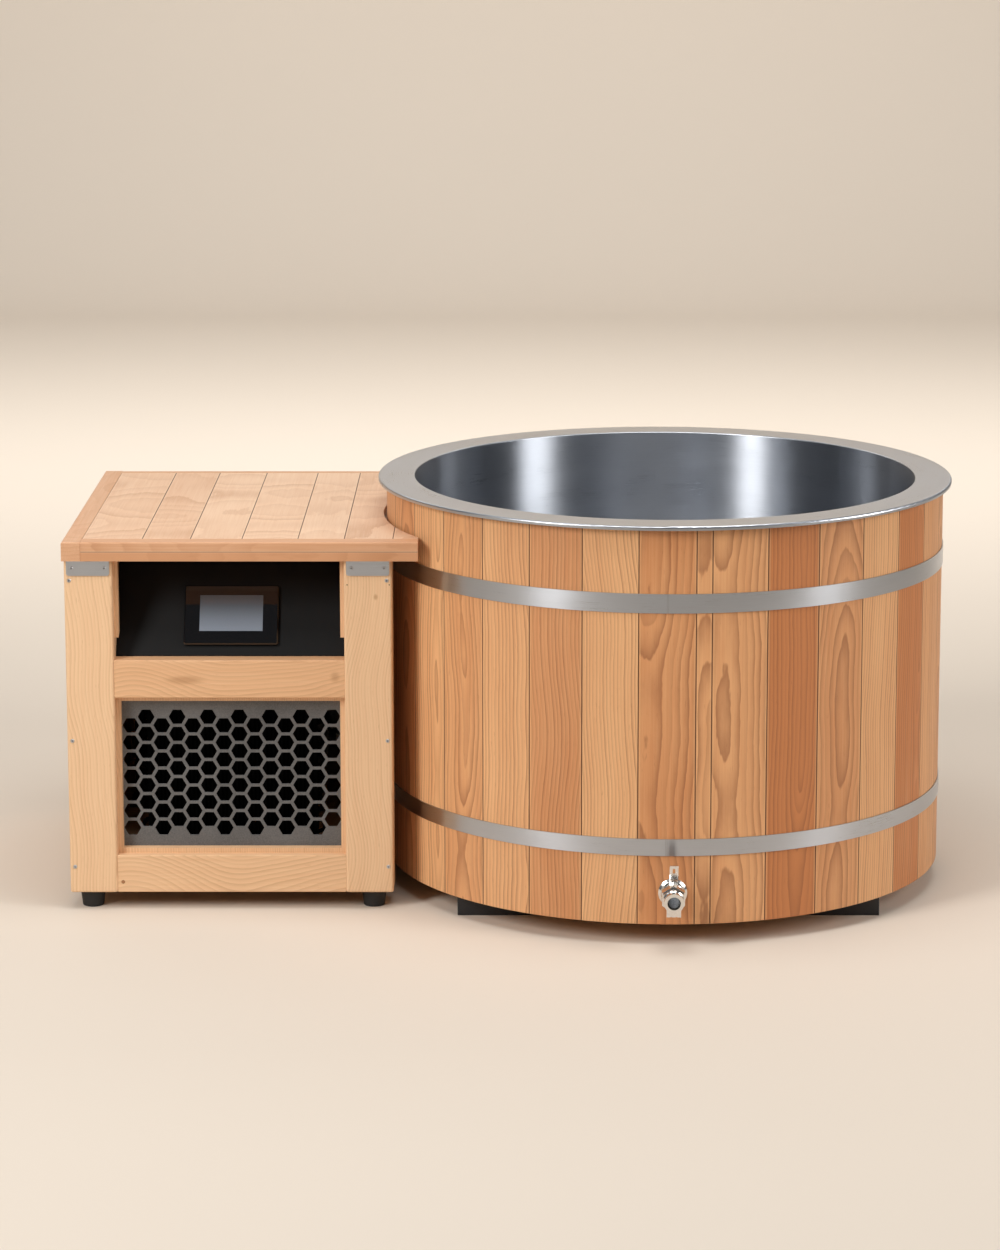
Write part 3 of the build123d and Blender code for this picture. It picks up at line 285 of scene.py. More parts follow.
def floats(*names):
    """Sockets of a node group that hold a number each."""
    return tuple((name, float_socket) for name in names)


def cedar_grain_group():
    """Rings round a wandering pith, fine fibre and slow mottling, for one board of solid wood."""
    group, given, result = new_group(
        "Cedar grain",
        floats("Across", "Along", "Depth", "Seed", "Pith", "Ring Width"),
        floats("Rings", "Fibre", "Mottle", "Flecks"),
    )
    across, along, depth = (given[name] for name in ("Across", "Along", "Depth"))
    ring_width = given["Ring Width"]
    seed = maths(group, "MULTIPLY", given["Seed"], seed_stride)

    def drawn_out(across_scale, along_scale):
        """A place in the wood for noise that is longer along the grain."""
        return combine(
            group,
            maths(group, "MULTIPLY", across, across_scale),
            maths(group, "MULTIPLY", along, along_scale),
            maths(group, "MULTIPLY_ADD", depth, across_scale, seed),
        )

    # Where the pith lies, seen from this point
    drift = noise(group, combine(group, seed, maths(group, "MULTIPLY", along, 1.6), 0.0), detail=1.0)
    lift_place = combine(group, maths(group, "ADD", seed, 5.5), along, 0.0)
    lift = noise(group, lift_place, scale=2.2, detail=1.0)
    offset = maths(group, "SUBTRACT", across, given["Pith"])
    sideways = weave_sum(group, offset, (drift, pith_drift))
    luck = maths(group, "SUBTRACT", chance(group, given["Seed"]), 0.5)
    leaning = maths(group, "MULTIPLY_ADD", along, maths(group, "MULTIPLY", luck, pith_tilt), depth)
    below = weave_sum(group, maths(group, "ADD", leaning, pith_depth), (lift, pith_lift))
    radius = length_of(group, sideways, below)

    # The growth rings, each pale at first and dark towards its end
    ripple_place = combine(
        group, maths(group, "MULTIPLY", across, 26.0), maths(group, "MULTIPLY", along, 7.0), seed
    )
    ripple = noise(group, ripple_place, detail=3.0, roughness=0.6)
    wavy = weave_sum(group, radius, (ripple, maths(group, "MULTIPLY", ring_width, ripple_reach)))
    turns = maths(group, "DIVIDE", wavy, ring_width)
    ring = maths(group, "FRACT", turns)
    late = maths(group, "POWER", ring, 1.8)
    early_edge = step(group, ring, 0.90, 1.0, 1.0, 0.0)
    weakest = 0.35
    ring_luck = chance(group, maths(group, "FLOOR", turns))
    strength = maths(group, "MULTIPLY_ADD", ring_luck, 1.0 - weakest, weakest)
    rings = maths(group, "MULTIPLY", maths(group, "MULTIPLY", late, early_edge), strength)

    fleck_noise = noise(group, drawn_out(420.0, 42.0), detail=1.0)
    for name, value in (
        ("Rings", rings),
        ("Fibre", noise(group, drawn_out(260.0, 5.0), detail=4.0, roughness=0.62)),
        ("Mottle", noise(group, drawn_out(12.0, 1.8), detail=3.0, roughness=0.55)),
        ("Flecks", step(group, fleck_noise, 0.68, 0.80)),
    ):
        group.links.new(value, result[name])
    return group


def stave_place_group():
    """Where a point lies in the stave ring: which stave, how far across it and from its seams."""
    group, given, result = new_group(
        "Place in stave ring",
        (("Position", vector_socket),),
        floats("Stave", "Across", "Along", "Depth", "Seam"),
    )
    x, y, z = split(group, given["Position"])
    turned = maths(group, "SUBTRACT", bearing_of(group, x, y), closing_stave_end)
    past_closing = maths(group, "WRAP", turned, tau, 0.0)
    stave = maths(group, "FLOOR", maths(group, "DIVIDE", past_closing, stave_angle))
    inside = maths(group, "SUBTRACT", past_closing, maths(group, "MULTIPLY", stave, stave_angle))
    closing = maths(group, "GREATER_THAN", stave, stave_count - 0.5)
    width = maths(group, "MULTIPLY_ADD", closing, closing_stave_angle - stave_angle, stave_angle)
    middle = maths(group, "SUBTRACT", inside, maths(group, "MULTIPLY", width, 0.5))
    seam = maths(group, "MINIMUM", inside, maths(group, "SUBTRACT", width, inside))
    for name, value in (
        ("Stave", stave),
        ("Across", maths(group, "MULTIPLY", middle, stave_ring_radius)),
        ("Along", z),
        ("Depth", maths(group, "SUBTRACT", stave_ring_radius, length_of(group, x, y))),
        ("Seam", maths(group, "MULTIPLY", seam, stave_ring_radius)),
    ):
        group.links.new(value, result[name])
    return group


def brushed_group():
    """Fine brush lines that run along one direction, with slow changes of polish."""
    group, given, result = new_group(
        "Brushed steel", floats("Along", "Across", "Third"), floats("Lines", "Cloud")
    )
    along, across, third = (given[name] for name in ("Along", "Across", "Third"))
    fine = combine(
        group,
        maths(group, "MULTIPLY", along, 9.0),
        maths(group, "MULTIPLY", across, 1500.0),
        maths(group, "MULTIPLY", third, 60.0),
    )
    group.links.new(noise(group, fine, detail=3.0, roughness=0.7), result["Lines"])
    slow = combine(group, along, maths(group, "MULTIPLY", across, 3.0), third)
    group.links.new(noise(group, slow, scale=5.0, detail=4.0, roughness=0.6), result["Cloud"])
    return group


groups = {}


def shared(make):
    """A node group that is made once."""
    if make not in groups:
        groups[make] = make()
    return groups[make]


def colour_setting(name, description, red, green, blue):
    """A colour on the settings' list."""
    return FloatVectorProperty(
        name=name, description=description, subtype="COLOR", size=4, min=0, max=1,
        default=(red, green, blue, 1.0),
    )


def roughness_setting(description, roughness):
    """A sheen on the settings' list."""
    return FloatProperty(
        name="Roughness", description=description, min=0, max=1, default=roughness, subtype="FACTOR",
    )


def power_setting(name, description, watts):
    """A light's power on the settings' list."""
    return FloatProperty(name=name, description=description, min=0, default=watts)


class PLUNGETUB_PG_wood(bpy.types.PropertyGroup):
    """Colours and sheen of the cedar."""

    pale: colour_setting("Pale cedar", "The lightest boards", 0.86, 0.49, 0.235)
    red: colour_setting("Red cedar", "The reddest boards", 0.56, 0.205, 0.066)
    late: colour_setting("Late wood", "The dark line of each growth ring", 0.26, 0.085, 0.028)
    frame_pale: colour_setting("Pale frame cedar", "The sapwood of posts and rails", 0.88, 0.60, 0.36)
    frame_red: colour_setting("Red frame cedar", "The heartwood of posts and rails", 0.66, 0.30, 0.12)
    roughness: roughness_setting("Sheen of the planed wood", 0.5)


class PLUNGETUB_PG_steel(bpy.types.PropertyGroup):
    """Finish of the stainless pieces."""

    colour: colour_setting("Steel", "Colour of brushed stainless", 0.62, 0.645, 0.69)
    roughness: roughness_setting("Sheen of the brushed sheet", 0.3)


class PLUNGETUB_PG_studio(bpy.types.PropertyGroup):
    """Backdrop, lights and camera."""

    backdrop: colour_setting("Backdrop", "Colour of the floor and wall", 0.74, 0.65, 0.55)
    key_power: power_setting("Key light", "Watts of the key light", 305.0)
    side_power: power_setting("Side light", "Watts of the side light", 160.0)
    top_power: power_setting("Top light", "Watts of the top light", 160.0)
    wall_power: power_setting("Wall wash", "Watts of the light on the wall", 400.0)
    floor_power: power_setting("Floor wash", "Watts of the light on the floor behind the tub", 170.0)
    lens: FloatProperty(
        name="Lens", description="Focal length on a 36 mm sensor", min=1, default=135.3, unit="CAMERA",
    )
    camera_tilt: FloatProperty(
        name="Camera tilt", description="How far the camera looks down", default=radians(10.28),
        subtype="ANGLE",
    )


# The stage, in metres; the wall stands far behind the tub
stage_middle = -0.3
floor_width, floor_length, floor_depth = 50.0, 28.0, 10.0
bend_radius, bend_steps, wall_height = 2.2, 24, 9.0


def add_backdrop(studio):
    """A floor that bends up into a wall."""
    deselect()
    bpy.ops.mesh.primitive_plane_add(size=1.0, location=(0, 0, 0))
    floor = bpy.context.object
    floor.name = "backdrop"
    floor.scale = (floor_width, floor_length, 1.0)
    floor.location = (stage_middle, floor_depth - floor_length / 2, 0.0)
    bpy.ops.object.transform_apply(location=True, rotation=True, scale=True)
    bpy.ops.object.mode_set(mode="EDIT")
    bpy.ops.mesh.select_all(action="DESELECT")
    shape = bmesh.from_edit_mesh(floor.data)
    for edge in shape.edges:
        if all(vertex.co.y > floor_depth - 0.01 for vertex in edge.verts):
            edge.select = True
    bmesh.update_edit_mesh(floor.data)
    bpy.ops.mesh.spin(
        steps=bend_steps, angle=-pi / 2, center=(0, floor_depth, bend_radius), axis=(1, 0, 0),
        dupli=False,
    )
    bpy.ops.mesh.extrude_region_move(TRANSFORM_OT_translate={"value": (0, 0, wall_height)})
    bpy.ops.mesh.select_all(action="SELECT")
    bpy.ops.mesh.remove_doubles(threshold=0.0001)
    bpy.ops.object.mode_set(mode="OBJECT")
    deselect()
    floor.select_set(True)
    bpy.ops.object.shade_smooth()
    material, tree, shader = new_material("studio paper", Roughness=0.85, Specular_IOR_Level=0.1)
    cloud = noise(tree, object_place(tree), scale=0.5, detail=2.0)
    shade = tint(tree, maths(tree, "MULTIPLY", cloud, 0.10), tuple(studio.backdrop), paper_shade)
    tree.links.new(shade, shader.inputs["Base Color"])
    floor.data.materials.append(material)


def add_light(scene, name, place, aim, size, power):
    """A rectangular light that faces a point."""
    light = bpy.data.lights.new(name, "AREA")
    light.shape = "RECTANGLE"
    light.size, light.size_y = size
    light.energy = power
    lamp = bpy.data.objects.new(name, light)
    scene.collection.objects.link(lamp)
    lamp.location = place
    lamp.rotation_euler = (Vector(aim) - Vector(place)).to_track_quat("-Z", "Y").to_euler()


def add_camera(scene, studio):
    """The camera that was fitted to the photograph."""
    camera_data = bpy.data.cameras.new("camera")
    camera = bpy.data.objects.new("camera", camera_data)
    scene.collection.objects.link(camera)
    camera.location = (-0.3357, -8.9374, 2.5694)
    camera.rotation_euler = (pi / 2 - studio.camera_tilt, 0, 0)
    camera_data.sensor_fit = "HORIZONTAL"
    camera_data.sensor_width = 36.0
    camera_data.lens = studio.lens
    camera_data.shift_x = -0.0254
    camera_data.shift_y = -0.140
    camera_data.clip_end = 60.0
    scene.camera = camera


class PLUNGETUB_OT_stage(bpy.types.Operator):
    """Add the seamless backdrop, the lights and the camera"""

    bl_idname = "plunge_tub.stage"
    bl_label = "Stage"

    def execute(self, context):
        scene = context.scene
        studio = scene.plunge_tub_studio
        add_backdrop(studio)

        world = bpy.data.worlds.new("studio air")
        scene.world = world
        world.use_nodes = True
        air = world.node_tree.nodes["Background"]
        air.inputs["Color"].default_value = (0.97, 0.98, 1.0, 1.0)
        air.inputs["Strength"].default_value = 0.10

        tub = (-0.35, 0.0, 0.5)
        before_wall = (stage_middle, floor_depth - 5.0, 5.0)
        wall_foot = (stage_middle, floor_depth + 1.5, 0.3)
        floor_behind = (stage_middle, 4.8, 0.0)
        for name, place, aim, size, power in (
            ("key light", (-5.0, -4.6, 4.2), tub, (1.6, 3.2), studio.key_power),
            ("side light", (5.2, -2.4, 3.2), tub, (1.8, 3.2), studio.side_power),
            ("top light", (-0.3, -1.2, 5.4), tub, (4.0, 3.0), studio.top_power),
            ("wall wash", before_wall, wall_foot, (12.0, 2.0), studio.wall_power),
            ("floor wash", (stage_middle, 4.4, 4.2), floor_behind, (12.0, 2.5), studio.floor_power),
        ):
            add_light(scene, name, place, aim, size, power)
        add_camera(scene, studio)
        scene.view_settings.view_transform = "Standard"
        return {"FINISHED"}


def ring_look(tree, stave):
    """The tone, pith place and ring width of a stave, from its number in the ring."""
    ramp = tree.nodes.new("ShaderNodeValToRGB")
    ramp.color_ramp.interpolation = "CONSTANT"
    stops = ramp.color_ramp.elements
    while len(stops) > 1:
        stops.remove(stops[-1])
    for index, look in enumerate(ring_looks):
        stop = stops[0] if index == 0 else stops.new(index / stave_count)
        stop.position = index / stave_count
        stop.color = (*look, 1.0)
    share = maths(tree, "DIVIDE", maths(tree, "ADD", stave, 0.5), stave_count)
    tree.links.new(share, ramp.inputs[0])
    return split_colour(tree, ramp.outputs["Color"])


def stave_grain(look):
    """The grain of a stave, from a look of its own or, for None, from its place in the ring."""

    def grain(tree):
        place = place_group(tree, shared(stave_place_group), Position=object_place(tree))
        tone, pith, ring_width = ring_look(tree, place["Stave"]) if look is None else look
        pith_place = maths(tree, "MULTIPLY", maths(tree, "SUBTRACT", pith, 0.5), pith_span)
        outputs = place_group(
            tree, shared(cedar_grain_group), Across=place["Across"], Along=place["Along"],
            Depth=place["Depth"], Seed=place["Stave"], Pith=pith_place,
            Ring_Width=maths(tree, "MULTIPLY_ADD", ring_width, ring_range, narrow_ring),
        )
        return outputs, tone, place["Seam"]

    return grain


def cedar_finish(name, settings, grain, colours, ring_strength=0.55, spread=0.5, edge=0.0012, marks=()):
    """A cedar material from its grain; its colours are the pale and red wood and the late rings. Beside
    seams it paints a highlight on the eased edges and shade in the gap.

    Each mark is a knot or stain seen from the front: X, Z, its reach along both, and its strength.
    """
    material, tree, shader = new_material(name, Roughness=settings.roughness)
    pale, red, late = colours
    (rings, fibre, mottle, flecks), tone, seam = grain(tree)
    level = weave_sum(tree, tone, (mottle, spread), (fibre, 0.5))
    colour = tint(tree, maths(tree, "ADD", level, 0.0, clamp=True), pale, red)
    colour = tint(tree, maths(tree, "MULTIPLY", rings, ring_strength), colour, late)
    colour = tint(tree, maths(tree, "MULTIPLY", flecks, 0.25), colour, late)
    if marks:
        x, y, z = split(tree, object_place(tree))
    for middle_x, middle_z, reach_x, reach_z, strength in marks:
        aside = maths(tree, "DIVIDE", maths(tree, "SUBTRACT", x, middle_x), reach_x)
        above = maths(tree, "DIVIDE", maths(tree, "SUBTRACT", z, middle_z), reach_z)
        square = maths(tree, "MULTIPLY_ADD", aside, aside, maths(tree, "MULTIPLY", above, above))
        distance = weave_sum(tree, maths(tree, "SQRT", square), (fibre, 0.8))
        colour = tint(tree, step(tree, distance, 0.2, 1.0, strength, 0.0), colour, late)
    if seam is not None:
        # Painted light beside a seam: the eased edges are lightened towards the pale wood as a painted
        # highlight, and the gap itself is darkened towards near black as painted shade
        seam_edge_highlight = maths(tree, "MULTIPLY", step(tree, seam, edge * 3.0, edge * 5.0, 1.0, 0.0), 0.30)
        colour = tint(tree, seam_edge_highlight, colour, pale)
        seam_gap_shade = maths(tree, "MULTIPLY", step(tree, seam, edge * 0.6, edge * 1.6, 1.0, 0.0), 0.85)
        colour = tint(tree, seam_gap_shade, colour, seam_shade_colour)
    tree.links.new(colour, shader.inputs["Base Color"])
    gloss = weave_sum(tree, settings.roughness, (fibre, 0.25))
    tree.links.new(gloss, shader.inputs["Roughness"])
    relief = maths(tree, "MULTIPLY_ADD", rings, 0.5, fibre)
    bump(tree, shader, relief, distance=0.0003, strength=0.5)
    return material


def cedar_colours(wood):
    """The pale and red wood and the late rings of the staves and boards."""
    return tuple(wood.pale), tuple(wood.red), tuple(wood.late)


class PLUNGETUB_OT_staves(bpy.types.Operator):
    """Give the staves their cedar, each with its own tone and figure"""

    bl_idname = "plunge_tub.staves"
    bl_label = "Staves"

    def execute(self, context):
        wood = context.scene.plunge_tub_wood
        for name, look, pieces in (
            ("stave cedar", None, (
                "drain_stave", "front_right_staves", "rear_right_staves", "rear_left_staves",
                "front_left_staves",
            )),
            ("closing stave cedar", closing_look, ("closing_stave",)),
        ):
            material = cedar_finish(
                name, wood, stave_grain(look), cedar_colours(wood), ring_strength=0.80, spread=0.65
            )
            finish(material, *pieces)
        return {"FINISHED"}


def find_board(tree, place, low, edges, pitch):
    """A board's number, how far into it a place lies, and its width if it has neighbours."""
    if edges is not None:
        board = 0.0
        for edge in edges[1:-1]:
            board = maths(tree, "ADD", board, maths(tree, "GREATER_THAN", place, edge))
        start, width = 0.0, 0.0
        for index, (left, right) in enumerate(zip(edges, edges[1:])):
            here = maths(tree, "COMPARE", board, float(index), 0.1)
            start = maths(tree, "MULTIPLY_ADD", here, left, start)
            width = maths(tree, "MULTIPLY_ADD", here, right - left, width)
        return board, maths(tree, "SUBTRACT", place, start), width
    inside = maths(tree, "SUBTRACT", place, low)
    if pitch is None:
        return 0.0, inside, None
    count = maths(tree, "DIVIDE", inside, pitch)
    inside = maths(tree, "MULTIPLY", maths(tree, "FRACT", count), pitch)
    return maths(tree, "FLOOR", count), inside, pitch


def board_grain(along, across, depth, low, edges=None, pitch=None, tone=0.4, tone_spread=0.4,
                pith=0.08, ring_width=0.009, seed=0.0):
    """The grain of straight boards side by side, from low by a pitch, between edges, or of one."""

    def grain(tree):
        axes = dict(zip("xyz", split(tree, object_place(tree))))
        board, inside, width = find_board(tree, axes[across], low, edges, pitch)
        seam = None
        if width is not None:
            seam = maths(tree, "MINIMUM", inside, maths(tree, "SUBTRACT", width, inside))
        board_seed = maths(tree, "ADD", board, seed)
        tone_luck = chance(tree, maths(tree, "ADD", board_seed, 0.37))
        pith_luck = chance(tree, maths(tree, "ADD", board_seed, 0.71))
        outputs = place_group(
            tree, shared(cedar_grain_group), Across=inside, Along=axes[along], Depth=axes[depth],
            Seed=board_seed, Pith=weave_sum(tree, pith, (pith_luck, 0.16)), Ring_Width=ring_width,
        )
        return outputs, weave_sum(tree, tone, (tone_luck, tone_spread)), seam

    return grain


# The cabinet's frame: piece, its axes along, across and into the grain, and its tone
frame_pieces = (
    ("front_left_post", "z", "x", "y", 0.10),
    ("front_right_post", "z", "x", "y", 0.12),
    ("rear_posts", "z", "x", "y", 0.2),
    ("mid_rail", "x", "z", "y", 0.45),
    ("front_bottom_rail", "x", "z", "y", 0.25),
    ("left_rails", "y", "z", "x", 0.3),
    ("right_rails", "y", "z", "x", 0.3),
    ("rear_rails", "x", "z", "y", 0.3),
    ("reveal_strips", "z", "x", "y", 0.3),
    ("grille_beads", "z", "x", "y", 0.25),
)
frame_ring_width = 0.0048
upright_pith, lying_pith = -0.22, -0.06
frame_seed, frame_seed_stride = 40.0, 3.0

# Boarded pieces: piece, its axes across and into the grain, the number of boards, and a seed
boarded_pieces = (
    ("left_boards", "y", "x", 6, 90.0),
    ("right_boards", "y", "x", 6, 90.0),
    ("back_boards", "x", "y", 5, 90.0),
)
floor_board_count = 9

# Knots and stains on the cabinet's front: X, Z, reach along both, strength
frame_marks = {
    "front_right_post": ((-0.683, 0.754, 0.007, 0.010, 0.6),),
    "mid_rail": ((-1.131, 0.555, 0.060, 0.014, 0.55), (-0.780, 0.562, 0.016, 0.018, 0.45)),
}


class PLUNGETUB_OT_cabinet(bpy.types.Operator):
    """Give the cabinet's posts, rails and boards their cedar"""

    bl_idname = "plunge_tub.cabinet"
    bl_label = "Cabinet"

    def execute(self, context):
        wood = context.scene.plunge_tub_wood
        colours = (tuple(wood.frame_pale), tuple(wood.frame_red), frame_late)
        for index, (name, along, across, depth, tone) in enumerate(frame_pieces):
            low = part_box(name)[0]["xyz".index(across)]
            grain = board_grain(
                along, across, depth, low, tone=tone, tone_spread=0.1,
                pith=upright_pith if along == "z" else lying_pith, ring_width=frame_ring_width,
                seed=frame_seed_stride * index + frame_seed,
            )
            finish(cedar_finish(
                name.replace("_", " ") + " cedar", wood, grain, colours, ring_strength=0.45,
                spread=0.16, marks=frame_marks.get(name, ()),
            ), name)
        for name, across, depth, board_count, seed in boarded_pieces:
            low, high = (corner["xyz".index(across)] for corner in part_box(name))
            grain = board_grain("z", across, depth, low, pitch=(high - low) / board_count, seed=seed)
            finish(cedar_finish(name.replace("_", " ") + " cedar", wood, grain, colours), name)
        low, high = (corner.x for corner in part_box("floor_boards"))
        grain = board_grain("y", "x", "z", low, pitch=(high - low) / floor_board_count, seed=120.0)
        finish(cedar_finish("floor board cedar", wood, grain, colours), "floor_boards")
        grain = board_grain("x", "y", "z", 0.0, seed=130.0)
        finish(cedar_finish("cabinet floor cedar", wood, grain, colours), "cabinet_floor")
        return {"FINISHED"}


lid_plank_shares = (140, 112, 120, 130, 108, 113, 59)  # as the CAD shares out the lid's width


class PLUNGETUB_OT_lid(bpy.types.Operator):
    """Give the lid's planks, edge board, edging and battens their cedar"""

    bl_idname = "plunge_tub.lid"
    bl_label = "Lid"

    def execute(self, context):
        wood = context.scene.plunge_tub_wood
        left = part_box("lid_planks")[0].x
        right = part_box("lid_planks")[1].x
        edges = [left]
        for share in lid_plank_shares:
            edges.append(edges[-1] + (right - left) * share / sum(lid_plank_shares))
        grain = board_grain("y", "x", "z", left, edges=edges, tone=0.30, seed=7.0)
        finish(cedar_finish(
            "plank cedar", wood, grain, lid_colours, ring_strength=0.6, spread=0.35, edge=0.0010
        ), "lid_planks")
        edge_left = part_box("lid_edge_board")[0].x
        grain = board_grain("y", "x", "z", edge_left, tone=0.75, tone_spread=0.0, seed=21.0)
        finish(cedar_finish("edge board cedar", wood, grain, lid_colours), "lid_edge_board")
        beyond = 0.02  # past the outer faces, which are no seams
        bottom, top = (corner.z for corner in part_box("lid_edging"))
        strips = (bottom - beyond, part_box("lid_planks")[0].z, top + beyond)
        grain = board_grain("x", "z", "y", bottom, edges=strips, tone=0.95, tone_spread=0.3, seed=31.0)
        finish(cedar_finish("edging cedar", wood, grain, lid_colours, edge=0.0006), "lid_edging")
        grain = board_grain("x", "y", "z", 0.0, seed=33.0)
        finish(cedar_finish("batten cedar", wood, grain, lid_colours), "lid_battens")
        return {"FINISHED"}


bearing_length = 0.6  # metres of brush line for each radian round the tub
deep_share = 0.72  # how light the deep lines are against the steel


def steel_material(name, steel, along, anisotropic):
    """Brushed stainless, with lines round the tub on a wall or a disc, or along x."""
    material, tree, shader = new_material(
        name, Metallic=1.0, Roughness=steel.roughness, Anisotropic=anisotropic,
        Anisotropic_Rotation=0.25 if along == "round" else 0.0,
    )
    x, y, z = split(tree, object_place(tree))
    if along == "x":
        place = (x, z, y)
    else:
        turned = maths(tree, "MULTIPLY", bearing_of(tree, x, y), bearing_length)
        place = (turned, z if along == "round" else length_of(tree, x, y), 0.0)
    lines, cloud = place_group(
        tree, shared(brushed_group), Along=place[0], Across=place[1], Third=place[2]
    )
    base = tuple(steel.colour[:3]) + (1.0,)
    deep = tuple(channel * deep_share for channel in steel.colour[:3]) + (1.0,)
    shade = weave_sum(tree, 0.5, (lines, 0.7), (cloud, 0.4))
    tree.links.new(tint(tree, shade, deep, base), shader.inputs["Base Color"])
    gloss = weave_sum(tree, steel.roughness, (lines, 0.12), (cloud, 0.10))
    tree.links.new(gloss, shader.inputs["Roughness"])
    bump(tree, shader, lines, distance=0.00005, strength=0.35)
    return material


# Stainless pieces: material, the run of its brush lines, how far they stretch a gleam, and pieces
steel_finishes = (
    ("liner steel", "round", 0.95, ("liner_wall",)),
    ("liner floor steel", "disc", 0.0, ("liner_floor",)),
    ("rim steel", "disc", 0.4, ("rim_flange",)),
    ("hoop steel", "round", 0.8, ("upper_hoop", "lower_hoop")),
    ("plate steel", "x", 0.3, ("corner_plates", "cabinet_screws")),
)


class PLUNGETUB_OT_steelwork(bpy.types.Operator):
    """Give the liner, rim, hoops and plates their brushed steel"""

    bl_idname = "plunge_tub.steelwork"
    bl_label = "Steelwork"

    def execute(self, context):
        for name, along, anisotropic, pieces in steel_finishes:
            finish(steel_material(name, context.scene.plunge_tub_steel, along, anisotropic), *pieces)
        return {"FINISHED"}


patch_size = 60.0  # how many grains of a coat make one of its slow patches


def speckled_material(name, colour, roughness, speckle, scale, relief, **extra):
    """Powder coat, rubber or moulded plastic: one colour with a fine grain."""
    material, tree, shader = new_material(name, Roughness=roughness, **extra)
    place = object_place(tree)
    grain = noise(tree, place, scale=scale, detail=3.0, roughness=0.6)
    patch = noise(tree, place, scale=scale / patch_size, detail=2.0)
    shade = weave_sum(tree, 0.5, (grain, 1.2), (patch, 0.6))
    dark = tuple(channel * (1.0 - speckle) for channel in colour) + (1.0,)
    light = tuple(min(1.0, channel * (1.0 + speckle)) for channel in colour) + (1.0,)
    tree.links.new(tint(tree, shade, dark, light), shader.inputs["Base Color"])
    tree.links.new(weave_sum(tree, roughness, (grain, 0.15)), shader.inputs["Roughness"])
    bump(tree, shader, grain, distance=relief, strength=0.4)
    return material


# Speckled pieces: material, colour, roughness, speckle, grains, relief, other values, and pieces
coats = (
    ("grille coat", (0.125, 0.122, 0.120), 0.55, 0.5, 420.0, 0.0002, {}, ("grille_panel",)),
    ("console coat", (0.004, 0.004, 0.004), 0.55, 0.2, 1500.0, 0.0001,
     {"Specular_IOR_Level": 0.2}, ("console",)),
    ("rubber", (0.012, 0.012, 0.012), 0.6, 0.3, 600.0, 0.0002, {}, ("rubber_feet",)),
    ("joist plastic", (0.018, 0.018, 0.019), 0.6, 0.3, 300.0, 0.0002, {},
     ("front_joist", "middle_joist", "rear_joist")),
    ("black enamel", (0.010, 0.010, 0.010), 0.5, 0.2, 400.0, 0.0002, {},
     ("fan_motor", "fan_rotor", "compressor", "control_box", "circulation_pump")),
    ("pale plastic", (0.45, 0.45, 0.44), 0.45, 0.1, 400.0, 0.0002, {},
     ("heat_exchanger", "filter_canister", "supply_pipe", "return_pipe")),
    ("foam", (0.6, 0.58, 0.5), 0.9, 0.1, 300.0, 0.0002, {}, ("wall_insulation",)),
    ("polished steel", (0.75, 0.73, 0.70), 0.18, 0.1, 300.0, 0.0001, {"Metallic": 1.0},
     ("wall_flange", "drain_nipple", "valve_body", "valve_ball", "valve_stem", "outlet_end",
      "valve_lever", "lever_nut")),
)


class PLUNGETUB_OT_fittings(bpy.types.Operator):
    """Give the grille, console, display, chiller, valve, joists and feet their finishes"""

    bl_idname = "plunge_tub.fittings"
    bl_label = "Fittings"

    def execute(self, context):
        for name, colour, roughness, speckle, scale, relief, extra, pieces in coats:
            finish(speckled_material(name, colour, roughness, speckle, scale, relief, **extra), *pieces)
        bezel = plain_material("gloss black", (0.004, 0.004, 0.005), Roughness=0.08, Coat_Weight=0.5)
        finish(bezel, "screen_bezel")
        glass, tree, shader = new_material("screen glass", Roughness=0.12, Coat_Weight=0.6)
        x, y, z = split(tree, object_place(tree))
        low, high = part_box("screen_glass")
        # Painted reflection: the glass's colour runs from pale at its foot to dark at its head
        reflection_climb = step(tree, z, low.z, high.z)
        tree.links.new(tint(tree, reflection_climb, reflection_foot, reflection_head), shader.inputs["Base Color"])
        finish(glass, "screen_glass")
        # The condenser's and shroud's black coat, darkened to near black with almost no gloss as
        # painted shade of the unlit inside behind the grille
        black_and_shade = plain_material(
            "condenser black and shade", (0.0012, 0.0012, 0.0012), Roughness=0.9, Specular_IOR_Level=0.02
        )
        finish(black_and_shade, "condenser", "fan_shroud")
        return {"FINISHED"}


def ride_root(piece, material):
    """Give a new piece its material and let it ride on the fixed body."""
    piece.data.materials.append(material)
    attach(piece, root)


def add_blocks(name, material, blocks):
    """A piece of plain blocks, each given by its middle and its size."""
    deselect()
    middle, size = blocks[0]
    bpy.ops.mesh.primitive_cube_add(size=1.0, location=middle, scale=size)
    piece = bpy.context.object
    piece.name = name
    bpy.ops.object.transform_apply(location=True, rotation=True, scale=True)
    bpy.ops.object.mode_set(mode="EDIT")
    for middle, size in blocks[1:]:
        bpy.ops.mesh.primitive_cube_add(size=1.0, location=middle, scale=size)
    bpy.ops.object.mode_set(mode="OBJECT")
    ride_root(piece, material)


def add_disc(name, material, middle, radius, thickness):
    """A round piece that faces the front."""
    deselect()
    bpy.ops.mesh.primitive_cylinder_add(
        vertices=32, radius=radius, depth=thickness, location=middle, rotation=(pi / 2, 0, 0)
    )
    piece = bpy.context.object
    piece.name = name
    bpy.ops.object.transform_apply(location=True, rotation=True, scale=True)
    ride_root(piece, material)


# Small details on the front, in metres
plate_screws_x, plate_screws_z = (-1.390, -1.314, -0.740, -0.664), 0.823
post_screws_x, post_screws_z = (-1.396, -0.658), (0.105, 0.410, 0.793)
screw_head = 0.0015
recess_arm, recess_width, recess_proud = 0.0026, 0.0009, 0.0002
welds_x, weld_width, weld_depth, weld_proud = (-0.0168, -0.0136), 0.0007, 0.0008, 0.0001
pilot_holes_x, pilot_holes_z = (-0.750, -0.652), 0.783
pilot_hole_radius, pilot_hole_depth = 0.0014, 0.0004
plug_x, plug_z, plug_radius, plug_depth = -1.284, 0.067, 0.0045, 0.0006


